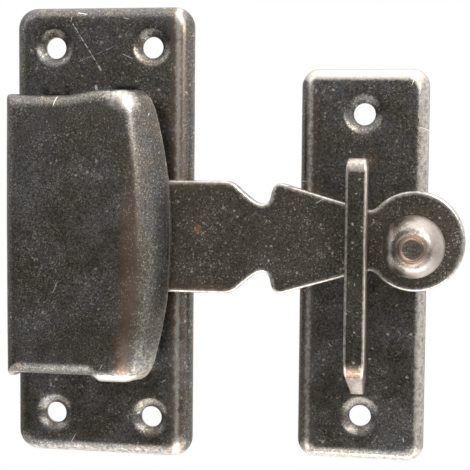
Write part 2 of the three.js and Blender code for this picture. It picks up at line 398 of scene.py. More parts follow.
def feed(tree, socket, value):
    """Links a socket to the one given, or sets it to a plain value."""
    if isinstance(value, bpy.types.NodeSocket):
        tree.links.new(value, socket)
    else:
        socket.default_value = value


def add_node(tree, kind, inputs=None, **settings):
    """Adds a node, sets its properties, and feeds its inputs."""
    made = tree.nodes.new(kind)
    for name, value in settings.items():
        setattr(made, name, value)
    for key, value in (inputs or {}).items():
        feed(tree, made.inputs[key], value)
    return made


def maths(tree, operation, *values, clamp=False):
    made = add_node(tree, "ShaderNodeMath", dict(enumerate(values)), operation=operation,
                    use_clamp=clamp)
    return made.outputs[0]


def product(tree, first, second):
    return maths(tree, "MULTIPLY", first, second)


def vector_maths(tree, operation, *values):
    made = add_node(tree, "ShaderNodeVectorMath", dict(enumerate(values)), operation=operation)
    single = operation in ("DOT_PRODUCT", "DISTANCE")
    return made.outputs["Value" if single else "Vector"]


def scaled(tree, vector, scale):
    made = add_node(tree, "ShaderNodeVectorMath", {0: vector, "Scale": scale}, operation="SCALE")
    return made.outputs[0]


def ramp(tree, value, low, high, start=0.0, end=1.0):
    """Eases a value from one range to another."""
    made = add_node(
        tree, "ShaderNodeMapRange",
        {"Value": value, "From Min": low, "From Max": high, "To Min": start, "To Max": end},
        interpolation_type="SMOOTHSTEP",
    )
    return made.outputs["Result"]


def blend_colours(tree, share, first, second):
    made = add_node(tree, "ShaderNodeMix", {0: share, 6: first, 7: second}, data_type="RGBA")
    return made.outputs[2]


def in_millimetres(tree, position, size):
    """Object coordinates counted in steps of a size in millimetres."""
    return scaled(tree, position, maths(tree, "DIVIDE", 1 / MM, size))


def cloud(tree, position, size, detail=2.0, roughness=0.5):
    """Soft noise whose features are about a size in millimetres."""
    made = add_node(tree, "ShaderNodeTexNoise", {
        "Vector": in_millimetres(tree, position, size), "Scale": 1.0, "Detail": detail,
        "Roughness": roughness})
    return made.outputs[0]


def new_group(name, inputs, outputs=("Mask",)):
    """A shader node group. An input without a default is a vector; the rest are numbers."""
    group = bpy.data.node_groups.new(name, "ShaderNodeTree")
    for label, value in inputs.items():
        kind = "NodeSocketVector" if value is None else "NodeSocketFloat"
        socket = group.interface.new_socket(label, in_out="INPUT", socket_type=kind)
        if value is not None:
            socket.default_value = value
    for label in outputs:
        group.interface.new_socket(label, in_out="OUTPUT", socket_type="NodeSocketFloat")
    start = group.nodes.new("NodeGroupInput")
    end = group.nodes.new("NodeGroupOutput")
    return group, start.outputs, end.inputs


def group_named(name):
    """A shader or geometry node group, built the first time it is asked for."""
    return bpy.data.node_groups.get(name) or GROUP_MAKERS[name]()


def place_group(tree, name, inputs):
    """Puts a surface effect in a material."""
    return add_node(tree, "ShaderNodeGroup", inputs, node_tree=group_named(name)).outputs


# ---------------------------------------------------------------------------- surface effects

def rubbed_edges_and_highlights_group():
    """Bright metal where wear is high, broken up as rubbing leaves it: rubbed edges, and painted
    highlights where that value stands in for light.
    """
    group, given, out = new_group(
        "Rubbed edges", {"Position": None, "Wear": 0.0, "Reach": 0.5, "Ragged": 0.6})
    broken = cloud(group, given["Position"], 0.9, detail=5.0, roughness=0.7)
    uneven = product(group, maths(group, "SUBTRACT", broken, 0.5), given["Ragged"])
    level = maths(group, "ADD", given["Wear"], uneven)
    start = maths(group, "SUBTRACT", 1.0, given["Reach"])
    rubbed = ramp(group, maths(group, "SUBTRACT", level, start), 0.0, 0.42)
    group.links.new(rubbed, out["Mask"])
    return group


def pale_specks_group():
    """Fine salt-like specks of many shades and ragged outlines, in drifts."""
    group, given, out = new_group(
        "Pale specks", {"Position": None, "Size": 0.6, "Amount": 0.3, "Drift": 7.0})
    place = in_millimetres(group, given["Position"], given["Size"])
    wobble = add_node(
        group, "ShaderNodeTexNoise", {"Vector": place, "Scale": 1.7, "Detail": 2.0})
    pushed = vector_maths(
        group, "MULTIPLY_ADD", wobble.outputs["Color"], (1.1, 1.1, 1.1), place)
    cells = add_node(group, "ShaderNodeTexVoronoi", {"Vector": pushed, "Scale": 1.0})
    drift = cloud(group, given["Position"], given["Drift"], detail=3.0)
    chance = add_node(group, "ShaderNodeSeparateColor", {0: cells.outputs["Color"]}).outputs
    share = product(group, given["Amount"], ramp(group, drift, 0.34, 0.66, 0.3, 1.5))
    kept = maths(group, "LESS_THAN", chance[0], share)
    radius = product(group, chance[1], 0.6)
    dot = ramp(group, maths(group, "SUBTRACT", radius, cells.outputs["Distance"]), -0.1, 0.16)
    shade = ramp(group, chance[2], 0.0, 1.0, 0.15, 1.0)
    group.links.new(product(group, product(group, kept, dot), shade), out["Mask"])
    return group


def short_scratches_group():
    """Short straight scratches, one at most in each patch, each with its own slant."""
    group, given, out = new_group(
        "Short scratches", {"Position": None, "Patch": 5.0, "Amount": 0.4, "Width": 0.02})
    place = in_millimetres(group, given["Position"], given["Patch"])
    parts = add_node(group, "ShaderNodeSeparateXYZ", {0: place}).outputs
    front = add_node(
        group, "ShaderNodeCombineXYZ", {"X": parts["X"], "Y": parts["Z"]}).outputs[0]
    cells = add_node(group, "ShaderNodeTexVoronoi", {"Vector": front, "Scale": 1.0},
                     voronoi_dimensions="2D")
    chance = add_node(group, "ShaderNodeSeparateColor", {0: cells.outputs["Color"]}).outputs
    offset = vector_maths(group, "SUBTRACT", front, cells.outputs["Position"])
    turned = add_node(
        group, "ShaderNodeVectorRotate",
        {"Vector": offset, "Angle": product(group, chance[0], math.pi)},
        rotation_type="Z_AXIS",
    )
    local = add_node(group, "ShaderNodeSeparateXYZ", {0: turned.outputs[0]}).outputs
    along = maths(group, "ABSOLUTE", local["X"])
    across = maths(group, "ABSOLUTE", local["Y"])
    reach = product(group, chance[1], 0.34)
    inside = ramp(group, maths(group, "SUBTRACT", reach, along), 0.0, 0.08)
    thin = ramp(group, maths(group, "SUBTRACT", given["Width"], across), 0.0, 0.01)
    kept = maths(group, "LESS_THAN", chance[2], given["Amount"])
    group.links.new(product(group, product(group, inside, thin), kept), out["Mask"])
    return group


def long_scratch_group():
    """One long fine scratch between two points, broken up along its length."""
    group, given, out = new_group(
        "Long scratch", {"Position": None, "Start": None, "Finish": None, "Width": 0.12})
    offset = vector_maths(group, "SUBTRACT", given["Position"], given["Start"])
    whole = vector_maths(group, "SUBTRACT", given["Finish"], given["Start"])
    share = maths(group, "DIVIDE", vector_maths(group, "DOT_PRODUCT", offset, whole),
                  vector_maths(group, "DOT_PRODUCT", whole, whole), clamp=True)
    nearest = scaled(group, whole, share)
    away = maths(group, "DIVIDE", vector_maths(group, "DISTANCE", offset, nearest), MM)
    broken = ramp(group, cloud(group, given["Position"], 0.8), 0.35, 0.65, 0.1, 1.2)
    width = product(group, given["Width"], broken)
    mark = ramp(group, maths(group, "SUBTRACT", width, away), -0.04, 0.06)
    group.links.new(mark, out["Mask"])
    return group


def heat_mottle_group():
    """The cloudy change of shade that blackening leaves, and a finer one inside it."""
    group, given, out = new_group(
        "Heat mottle", {"Position": None, "Size": 9.0}, ("Cloud", "Fine"))
    for label, share, low, high in (("Cloud", 1.0, 0.3, 0.75), ("Fine", 0.045, 0.38, 0.64)):
        size = product(group, given["Size"], share)
        soft = cloud(group, given["Position"], size, detail=4.0, roughness=0.6)
        group.links.new(ramp(group, soft, low, high), out[label])
    return group


def sheet_grain_group():
    """Height of the fine uneven skin of blackened sheet."""
    group, given, out = new_group(
        "Sheet grain", {"Position": None, "Fine": 0.12, "Coarse": 0.9}, ("Height",))
    fine, coarse = (
        product(group, cloud(group, given["Position"], given[label], 3.0, 0.55), share)
        for label, share in (("Fine", 0.4), ("Coarse", 0.6))
    )
    group.links.new(maths(group, "ADD", fine, coarse), out["Height"])
    return group


def stain_group():
    """A ragged spot round one point."""
    group, given, out = new_group("Stain", {"Position": None, "Centre": None, "Radius": 0.003})
    away = vector_maths(group, "DISTANCE", given["Position"], given["Centre"])
    near = maths(group, "DIVIDE", away, given["Radius"])
    uneven = product(group, cloud(group, given["Position"], 1.6, detail=4.0), 1.3)
    ragged = maths(group, "ADD", near, uneven)
    group.links.new(ramp(group, ragged, 0.75, 1.6, 1.0, 0.0), out["Mask"])
    return group


# ---------------------------------------------------------------------------- materials

# Two blacks and the rubbed metal, each a finish colour and how much of it is left; roughness
# when black and when rubbed; how far rubbing reaches and how ragged it is; and the share of
# the surface under fine dust, under larger specks, and of patches with a scratch.
Look = namedtuple(
    "Look", "warm cool rubbed dull smooth reach ragged dust specks scratches")
LOOKS = {
    "plate": Look(warm=("warm", 1.0), cool=("cool", 1.0), rubbed=("rubbed", 1.0), dull=0.32,
                  smooth=0.27, reach=0.45, ragged=0.9, dust=0.58, specks=0.08, scratches=0.12),
    "case": Look(warm=("warm", 1.0), cool=("cool", 1.0), rubbed=("rubbed", 1.0), dull=0.35,
                 smooth=0.3, reach=0.42, ragged=0.8, dust=0.66, specks=0.04, scratches=0.06),
    "bar": Look(warm=("warm", 0.85), cool=("warm", 0.6375), rubbed=("rubbed", 1.0), dull=0.4,
                smooth=0.3, reach=0.45, ragged=0.9, dust=0.52, specks=0.08, scratches=0.1),
    "hook": Look(warm=("warm", 0.62), cool=("warm", 0.558), rubbed=("bright", 1.0), dull=0.38,
                 smooth=0.3, reach=0.5, ragged=0.6, dust=0.25, specks=0.12, scratches=0.05),
    "knob": Look(warm=("warm", 0.95), cool=("warm", 0.95), rubbed=("polished", 1.0), dull=0.4,
                 smooth=0.32, reach=0.75, ragged=0.9, dust=0.3, specks=0.05, scratches=0.05),
    "rivet": Look(warm=("rubbed", 1.0), cool=("warm", 1.0), rubbed=("bright", 1.0), dull=0.42,
                  smooth=0.3, reach=0.5, ragged=0.6, dust=0.3, specks=0.1, scratches=0.2),
}
PORE_COVER, PORE_SHADE = 0.85, 0.35  # the shade is a share of the warm black
DUST_SIZE, DUST_DRIFT, DUST_COVER = 0.28, 4.0, 0.68
SPECK_SIZE, SPECK_DRIFT, SPECK_COVER = 0.62, 9.0, 0.85
SPECK_COLOUR = (0.58, 0.51, 0.42, 1.0)
SCRATCH_COLOUR = (0.85, 0.82, 0.78, 1.0)
SPECK_SCATTER, RUB_SCATTER = 0.16, 0.15  # how far each takes the steel from bare metal
SCRATCH_DEPTH = 0.3  # as a share of the grain's height
GRAIN_HEIGHT = 0.06 * MM


def worn_steel(kind, colours, stain=None, scratches=()):
    """Blackened steel: mottled, rubbed bright on its edges with painted highlights and painted
    shade, specked and scratched.

    A stain is a centre and a radius; a scratch is a start, a finish and a width.
    """
    look = LOOKS[kind]

    def mixed(source, share):
        return (*(share * c for c in getattr(colours, source)), 1.0)

    def effect(label, **inputs):
        return place_group(tree, label, {"Position": position, **inputs})

    material = bpy.data.materials.new("worn_" + kind + "_steel")
    material.use_nodes = True
    tree = material.node_tree
    shader = tree.nodes["Principled BSDF"].inputs
    position = add_node(tree, "ShaderNodeTexCoord").outputs["Object"]
    wear, tint = (
        add_node(tree, "ShaderNodeAttribute", attribute_name=label).outputs["Fac"]
        for label in ("wear", "tint")
    )
    mottle = effect("Heat mottle")
    colour = blend_colours(tree, mottle["Cloud"], mixed(*look.warm), mixed(*look.cool))
    source, share = look.warm
    pores = product(tree, mottle["Fine"], PORE_COVER)
    colour = blend_colours(tree, pores, colour, mixed(source, PORE_SHADE * share))
    heat = product(tree, tint, ramp(tree, mottle["Fine"], 0.0, 0.8, 0.35, 1.0))
    colour = blend_colours(tree, heat, colour, mixed("copper", 1.0))
    if stain:
        centre, radius = stain
        spot = effect("Stain", Centre=centre, Radius=radius)["Mask"]
        colour = blend_colours(tree, spot, colour, mixed("rust", 1.0))
    # Rubbed bright metal, and the painted highlights that the wear value also carries.
    rub = effect("Rubbed edges", Wear=wear, Reach=look.reach, Ragged=look.ragged)["Mask"]
    colour = blend_colours(tree, rub, colour, mixed(*look.rubbed))
    dust = effect("Pale specks", Size=DUST_SIZE, Amount=look.dust, Drift=DUST_DRIFT)["Mask"]
    specks = effect(
        "Pale specks", Size=SPECK_SIZE, Amount=look.specks, Drift=SPECK_DRIFT)["Mask"]
    for layer, cover in ((dust, DUST_COVER), (specks, SPECK_COVER)):
        colour = blend_colours(tree, product(tree, layer, cover), colour, SPECK_COLOUR)
    marks = effect("Short scratches", Amount=look.scratches)["Mask"]
    for start, finish, width in scratches:
        mark = effect("Long scratch", Start=start, Finish=finish, Width=width)["Mask"]
        marks = maths(tree, "MAXIMUM", marks, mark)
    colour = blend_colours(tree, marks, colour, SCRATCH_COLOUR)
    tree.links.new(colour, shader["Base Color"])
    dull = ramp(tree, mottle["Cloud"], 0.0, 1.0, look.dull - 0.05, look.dull + 0.06)
    smooth = add_node(tree, "ShaderNodeMix", {0: rub, 2: dull, 3: look.smooth})
    tree.links.new(smooth.outputs[0], shader["Roughness"])
    specked = product(tree, maths(tree, "MAXIMUM", dust, specks), SPECK_SCATTER)
    scatter = maths(tree, "ADD", specked, product(tree, rub, RUB_SCATTER))
    tree.links.new(maths(tree, "SUBTRACT", 1.0, scatter), shader["Metallic"])
    relief = maths(tree, "SUBTRACT", effect("Sheet grain")["Height"],
                   product(tree, marks, SCRATCH_DEPTH))
    bump = add_node(
        tree, "ShaderNodeBump", {"Height": relief, "Strength": 0.4, "Distance": GRAIN_HEIGHT})
    tree.links.new(bump.outputs[0], shader["Normal"])
    return material


# ---------------------------------------------------------------------------- geometry nodes

def new_tree(name, inputs, result):
    """A geometry tree and what it is given: a kind of socket for each named input."""
    tree = bpy.data.node_groups.new(name, "GeometryNodeTree")
    for label, kind in inputs.items():
        tree.interface.new_socket(label, in_out="INPUT", socket_type="NodeSocket" + kind)
    tree.interface.new_socket(result, in_out="OUTPUT", socket_type="NodeSocketGeometry")
    return tree, tree.nodes.new("NodeGroupInput").outputs


def turned_piece_tree():
    """Spins a profile of radius and height round an axis that stands out of the door."""
    tree, given = new_tree("Turned piece", {
        "Profile": "Geometry", "Sides": "Int", "Axis": "Vector", "Material": "Material",
    }, "Piece")
    rows = add_node(
        tree, "GeometryNodeAttributeDomainSize", {0: given["Profile"]}).outputs["Point Count"]
    grid = add_node(
        tree, "GeometryNodeMeshGrid",
        {"Vertices X": maths(tree, "ADD", given["Sides"], 1.0), "Vertices Y": rows},
    ).outputs["Mesh"]
    index = tree.nodes.new("GeometryNodeInputIndex").outputs[0]
    row = maths(tree, "MODULO", index, rows)
    column = maths(tree, "FLOOR", maths(tree, "DIVIDE", maths(tree, "ADD", index, 0.5), rows))
    turn = product(tree, column, maths(tree, "DIVIDE", math.tau, given["Sides"]))

    def sampled(kind, value):
        made = add_node(
            tree, "GeometryNodeSampleIndex", {0: given["Profile"], 1: value, 2: row},
            data_type=kind)
        return made.outputs[0]

    place = tree.nodes.new("GeometryNodeInputPosition").outputs[0]
    profile = add_node(
        tree, "ShaderNodeSeparateXYZ", {0: sampled("FLOAT_VECTOR", place)}).outputs
    spun = add_node(tree, "ShaderNodeCombineXYZ", {
        "X": product(tree, profile["X"], maths(tree, "COSINE", turn)),
        "Y": product(tree, profile["Z"], -1.0),
        "Z": product(tree, profile["X"], maths(tree, "SINE", turn)),
    }).outputs[0]
    there = vector_maths(tree, "ADD", spun, given["Axis"])
    shape = add_node(
        tree, "GeometryNodeSetPosition", {"Geometry": grid, "Position": there}).outputs[0]
    for label in ("wear", "tint"):
        named = add_node(tree, "GeometryNodeInputNamedAttribute", {"Name": label})
        shape = add_node(
            tree, "GeometryNodeStoreNamedAttribute",
            {"Geometry": shape, "Name": label, "Value": sampled("FLOAT", named.outputs[0])},
        ).outputs[0]
    shape = add_node(
        tree, "GeometryNodeMergeByDistance", {"Geometry": shape, "Distance": 0.001 * MM},
    ).outputs[0]
    shape = add_node(tree, "GeometryNodeSetShadeSmooth", {"Geometry": shape}).outputs[0]
    return finish_tree(tree, shape, given["Material"], "Piece")


def repeated_block_tree():
    """Sets one block at each point, turned about the line out of the door."""
    tree, given = new_tree("Repeated block", {
        "Places": "Geometry", "Block": "Object", "Material": "Material"}, "Blocks")
    block = add_node(tree, "GeometryNodeObjectInfo", {"Object": given["Block"]})
    turn = add_node(tree, "GeometryNodeInputNamedAttribute", {"Name": "turn"}).outputs[0]
    rotation = add_node(tree, "ShaderNodeCombineXYZ", {"Y": turn}).outputs[0]
    blocks = add_node(
        tree, "GeometryNodeInstanceOnPoints",
        {"Points": given["Places"], "Instance": block.outputs["Geometry"],
         "Rotation": rotation},
    ).outputs[0]
    return finish_tree(tree, blocks, given["Material"], "Blocks")


def finish_tree(tree, geometry, material, label):
    """Ends a tree with plain geometry in one material."""
    plain = add_node(tree, "GeometryNodeRealizeInstances", {"Geometry": geometry}).outputs[0]
    coated = add_node(
        tree, "GeometryNodeSetMaterial", {"Geometry": plain, "Material": material})
    end = tree.nodes.new("NodeGroupOutput")
    tree.links.new(coated.outputs[0], end.inputs[label])
    return tree


GROUP_MAKERS = {
    "Rubbed edges": rubbed_edges_and_highlights_group,
    "Pale specks": pale_specks_group,
    "Short scratches": short_scratches_group,
    "Long scratch": long_scratch_group,
    "Heat mottle": heat_mottle_group,
    "Sheet grain": sheet_grain_group,
    "Stain": stain_group,
    "Turned piece": turned_piece_tree,
    "Repeated block": repeated_block_tree,
}


def grown(name, start_mesh, tree_name, values):
    """The result of a tree on a starting mesh, as a plain object."""
    tree = group_named(tree_name)
    start = show(name + "_start", start_mesh)
    modifier = start.modifiers.new(tree.name, "NODES")
    modifier.node_group = tree
    for item in tree.interface.items_tree:
        if item.in_out == "INPUT" and item.name in values:
            modifier[item.identifier] = values[item.name]
    graph = bpy.context.evaluated_depsgraph_get()
    mesh = bpy.data.meshes.new_from_object(start.evaluated_get(graph))
    mesh.name = name
    start.modifiers.remove(modifier)
    bpy.data.objects.remove(start)
    face_outwards(mesh)
    return show(name, mesh)


def softened(profile, radius, steps=4):
    """A profile of (radius, height, wear, tint) in millimetres with its corners rounded."""
    soft = [profile[0]]
    for before, corner, after in zip(profile, profile[1:], profile[2:]):
        here = Vector(corner[:2])
        back, ahead = Vector(before[:2]) - here, Vector(after[:2]) - here
        reach = min(radius, 0.45 * back.length, 0.45 * ahead.length)
        start = here + back.normalized() * reach
        end = here + ahead.normalized() * reach
        curve = bend(start, here, end, steps) + [end]
        soft += [(point.x, point.y, *corner[2:]) for point in curve]
    return soft + [profile[-1]]


def turned(name, profile, centre, material, sides):
    """A turned piece from a profile in millimetres: (radius, proud, wear, tint)."""
    mesh = bpy.data.meshes.new(name + "_profile")
    points = [(radius * MM, 0.0, proud * MM) for radius, proud, _, _ in profile]
    mesh.from_pydata(points, [(i, i + 1) for i in range(len(points) - 1)], [])
    paint_points(mesh, wear=[p[2] for p in profile], tint=[p[3] for p in profile])
    values = {"Sides": sides, "Axis": (centre.x, 0.0, centre.y), "Material": material}
    return grown(name, mesh, "Turned piece", values)


def repeated(name, block, places, material):
    """Copies of a block at (x, up, turn in degrees), realised as one piece."""
    mesh = bpy.data.meshes.new(name + "_places")
    mesh.from_pydata([(x, 0.0, up) for x, up, _ in places], [], [])
    paint_points(mesh, turn=[math.radians(turn) for _, _, turn in places])
    made = grown(name, mesh, "Repeated block", {"Block": block, "Material": material})
    bpy.data.objects.remove(block)
    return made


# ---------------------------------------------------------------------------- plates

DISH_STEPS = 7


def dished_hole(centre, plate, face):
    """A screw hole in a pressed dish, from the face to the back of the sheet."""
    soft = 0.12 * MM
    back, back_depth = face - plate.sheet, 0.7 * plate.dish_depth

    def dish(level, depth, wear):
        """From the dish's rim down to its hole."""
        shares = [i / DISH_STEPS for i in range(DISH_STEPS + 1)]
        return [(plate.dish + (plate.hole + soft - plate.dish) * t, level - depth * t ** 1.6,
                 wear * t) for t in shares]

    hole = [(plate.hole, face - plate.dish_depth - soft, 0.2),
            (plate.hole, back - back_depth + 0.15 * MM, 0.0)]
    levels = dish(face, plate.dish_depth, 0.15) + hole + dish(back, back_depth, 0.0)[::-1]
    return [(circle(centre, radius), w, wear) for radius, w, wear in levels]


def plain_slot(outline, face, sheet):
    """A straight hole with slightly broken edges."""
    soft = 0.15 * MM
    wider = inset(outline, -soft)
    return [(wider, face, 0.2), (outline, face - soft, 0.2),
            (outline, face - sheet + soft, 0.0), (wider, face - sheet, 0.0)]


def pressed_plate(name, corner, screws, slots, plate, rub, material):
    """A shallow pan with rolled edges, hollow behind, with dished screw holes."""
    sides = sides_of(name)
    face, back = sides.front, sides.front - plate.sheet
    foot = 0.2 * MM
    shell = Shell()

    def ring(depth, w):
        outline = rounded_rectangle(sides, depth, corner - plate.corner_ease * depth)
        return shell.ring(outline, w)

    def skin(start, radius, top):
        return [ring(start + radius * (1 - math.cos(turn)), top - radius * (1 - math.sin(turn)))
                for turn in quarter(plate.roll_steps)]

    outer = skin(0.0, plate.roll, face)
    inner = skin(plate.sheet, plate.roll - plate.sheet, back)
    edge = [ring(0.0, foot), ring(foot, 0.0), ring(plate.sheet - foot, 0.0),
            ring(plate.sheet, foot)]
    shell.bridge(*reversed(outer), *edge, *inner)
    holes = [shell.pierce(dished_hole(screw, plate, face)) for screw in screws]
    holes += [shell.pierce(plain_slot(slot, face, plate.sheet)) for slot in slots]
    shell.cap(outer[-1], [mouth for mouth, _ in holes], plate.pitch, face)
    shell.cap(inner[-1], [mouth for _, mouth in holes], plate.pitch, back)
    shell.paint(rub)
    shell.ripple(plate.ripple, 14 * MM, face)
    return shell.build("pressed_" + name, material)


def latch_plate_wear_and_sheen(sides, plate):
    """The right and lower rolls are rubbed and carry painted highlights, with a copper line
    where the roll begins.
    """
    def rule(u, v, w):
        rolled = w > 0.3 * sides.front
        to_right = sides.right - u
        to_low = v - sides.low
        line_right = math.exp(-((to_right - 1.05 * plate.roll) / (1.2 * MM)) ** 2)
        line_low = math.exp(-((to_low - plate.roll) / (1.3 * MM)) ** 2)
        on_low = 1 - between(to_low, 0.4 * plate.roll, plate.roll)
        on_right = 1 - between(to_right, 0.3 * plate.roll, 0.8 * plate.roll)
        # Partly rubbing, partly painted highlight: the bright line on the right crest and the
        # bright lower roll stand in for light caught there.
        wear = max(line_right, 0.4 * on_right, 0.4 * line_low, 0.76 * on_low)
        return (wear * rolled, 0.75 * line_right * rolled)
    return rule


def keeper_plate_wear_and_sheen(sides, plate):
    """All round, the roll is rubbed and carries painted highlights, most at the top and the
    right.
    """
    def rule(u, v, w):
        rolled = w > 0.3 * sides.front
        to_right, to_high = sides.right - u, sides.high - v
        to_left, to_low = u - sides.left, v - sides.low
        on_high = 1 - between(to_high, 0.6 * plate.roll, 1.25 * plate.roll)
        on_right = 1 - between(to_right, 0.6 * plate.roll, 1.1 * plate.roll)
        on_low = 1 - between(to_low, 0.35 * plate.roll, 0.95 * plate.roll)
        on_left = math.exp(-((to_left - 0.75 * plate.roll) / (1.2 * MM)) ** 2)
        # Partly rubbing, partly painted highlight for the light that the rolls catch from above,
        # below and the sides.
        wear = max(on_high, 0.82 * on_right, 0.85 * on_low, 0.85 * on_left)
        return (wear * rolled, 0.3 * on_left * rolled)
    return rule


# ---------------------------------------------------------------------------- case

def case_outline(sides, case, step, reach, bulge):
    """The case's outline at one level. Its upper side flares gently and its lower sharply."""
    left = sides.left + step
    side = reach - bulge
    corner = min(case.corner, side - case.flare_end - 0.2 * MM)
    narrow = sides.high - case.flare - step
    wide = sides.high - step
    small = 0.7 * MM

    def half(sign, flare_start, flare_end):
        ease_by = 0.36 * (flare_end - flare_start)
        start, end = flare_start + ease_by, flare_end - ease_by
        shoulder = wide - corner
        turn_in = side - 2 * bulge * corner / shoulder
        return path(
            (left + small, sign * narrow),
            (16, (flare_start, sign * narrow)),
            (12, (start, sign * narrow), (end, sign * wide), (flare_end, sign * wide)),
            (10, (side - corner, sign * wide)),
            (10, (turn_in, sign * wide), (side, sign * shoulder)),
            (26, (reach, sign * 0.5 * shoulder), (reach, 0.0)),
        ) + [Vector((reach, 0.0))]

    lower = half(-1, case.step_start, case.step_end)
    upper = half(1, case.flare_start, case.flare_end)
    lower_left = bend((left, -narrow + small), (left, -narrow), (left + small, -narrow), 4)
    upper_left = bend((left + small, narrow), (left, narrow), (left, narrow - small), 4)
    edge = line((left, narrow - small), (left, -narrow + small), 36)
    return lower_left + lower + upper[-2:0:-1] + upper_left + edge


def case_lean(share):
    """How far the sloping side has leaned in, rounding over at the crest."""
    return 0.6 * share + 0.4 * (1 - math.sqrt(max(0.0, 1 - share ** 4)))


def case_skin(shell, sides, case, thickness, foot):
    """Rings of the outer or the inner skin, from its free edge to its front."""
    top = sides.front - thickness
    roll = case.roll - thickness
    shoulder = top - roll
    reach = sides.right - 1.4 * thickness
    levels = [(i / case.wall_steps, 0.0) for i in range(case.wall_steps)]
    levels += [(1.0, turn) for turn in quarter(case.roll_steps)]
    rings = []
    for share, turn in levels:
        over = roll * math.sin(turn)
        rise = ((shoulder - case.cheek) * share + over) / (top - case.cheek)
        outline = case_outline(
            sides, case, thickness + roll * (1 - math.cos(turn)),
            reach - case.slope * case_lean(rise), case.bulge * (1 - 0.4 * rise))
        mouth = [between(p.x, case.open_at - 0.8 * MM, case.open_at + 1.5 * MM) for p in outline]
        bases = [foot + (case.cheek - foot) * share_open for share_open in mouth]
        heights = [base + (shoulder - base) * share + over for base in bases]
        ears = 1 - between(share + math.sin(turn), 0.5, 1.6)
        for point in outline:
            near = 1 - between(point.x - sides.left - thickness, 0.9 * MM, 2.0 * MM)
            past = case.ear_low if point.y < 0 else case.ear_high
            if abs(point.y) > 0.9 * sides.high:
                point.y += math.copysign(past * near * ears, point.y)
        rings.append(shell.ring(outline, heights))
    return rings


def crown(point, sides, case):
    """How far the front falls away at a point, because it isn't quite flat."""
    along = (point.y / sides.high) ** 2
    across = ((point.x - 0.3 * sides.left) / sides.left) ** 2
    return case.crown * (0.7 * along + 0.3 * min(1.0, across))


def case_wear_and_sheen(sides, case):
    """Copper along the crest; bright on the free edge; painted highlights on the upper right
    corner, the cheek, the lower edge and the lower right.
    """
    def rule(u, v, w):
        crest = sides.right - case.slope - 0.6 * MM - 2.2 * MM * (v / sides.high) ** 2
        band = math.exp(-((u - crest) / (1.7 * MM)) ** 2)
        front = between(w, case.cheek + 2.5 * MM, sides.front - 1.0 * MM)
        lower = 0.5 + 0.5 * between(-v, -10 * MM, 20 * MM)
        edge = between(w, case.cheek + 0.7 * MM, case.cheek + 0.15 * MM)
        free = edge * (u > case.open_at)
        # A painted highlight along the lower edge, brighter to the right, for light from below.
        low_edge_highlight = between(-v, sides.high - 3.2 * MM, sides.high - 1.0 * MM)
        # A painted highlight where light catches the upper right corner of the front.
        corner = (between(u, -6 * MM, 9 * MM)
                  * between(v, sides.high - 9 * MM, sides.high - 2.5 * MM)
                  * between(w, sides.front - 6 * MM, sides.front - 1 * MM))
        # A painted highlight up the lower right of the cheek, for light from below.
        low_cheek_highlight = between(-v, 10 * MM, 27 * MM) * between(u, crest - 1 * MM, crest + 3 * MM)
        low_edge_highlight *= 0.85 + 0.2 * between(u, -2 * MM, 3 * MM)
        # A painted sheen over the cheek, for the light that it reflects.
        cheek = between(u, crest + 2 * MM, crest + 4.5 * MM)
        wear = max(0.9 * free, 0.45 * band * front * lower, 0.5 * cheek, low_edge_highlight,
                   0.92 * corner, 0.74 * low_cheek_highlight)
        tint = max(0.75 * band * front * between(-v, -24 * MM, 6 * MM), 0.5 * free)
        return (wear, tint * (1 - max(low_edge_highlight, low_cheek_highlight)))
    return rule


def build_case(sides, case, material):
    """The boxed cover over the pivot, open behind and towards the bar."""
    shell = Shell()
    foot = sides_of("latch_plate").front + GAP
    outer = case_skin(shell, sides, case, 0.0, foot)
    inner = case_skin(shell, sides, case, case.sheet, foot)
    lip = 0.25 * MM
    free = outer[0], inner[0]
    soft = []
    for near, far in (free, free[::-1]):
        outline = [shell.points[i].lerp(shell.points[j], lip / case.sheet)
                   for i, j in zip(near, far)]
        soft.append(shell.ring(outline, [shell.points[i].z for i in near]))
    for i in (*free[0], *free[1]):
        shell.points[i].z += lip
    shell.bridge(*reversed(outer), *soft, *inner)
    top = sides.front
    shell.cap(outer[-1], [], 1.6 * MM, top)
    shell.cap(inner[-1], [], 2.4 * MM, top - case.sheet)
    for point in shell.points:
        point.z -= between(point.z, case.cheek, top - 1.0 * MM) * crown(point, sides, case)
    shell.paint(case_wear_and_sheen(sides, case))
    shell.ripple(case.ripple, 16 * MM, top)
    return shell.build("boxed_case", material)


def folded_tab(case, sides):
    """One tab, drawn from the side at the middle of the door: down the wall, then folded."""
    back, plate = sides.back, sides_of("latch_plate").front
    top, bend_at = plate + 1.5 * MM, plate - BEHIND_SHEET
    inner = -case.sheet
    foot = inner - case.tab_foot
    outline = path(
        (back, foot),
        (6, (back, -0.6 * MM)),
        (4, (back, 0.0), (back + 0.6 * MM, 0.0)),
        (6, (top, 0.0)),
        (3, (top, inner)),
        (6, (bend_at, inner)),
        (6, (bend_at, foot)),
        (4, (back, foot)),
    )
    half = 0.5 * case.tab_width
    return slab(outline[::-1], -half, half, 0.2 * MM, seen_from_side, pitch=1.0 * MM,
                rub=THIN_RUB)


# ---------------------------------------------------------------------------- bar

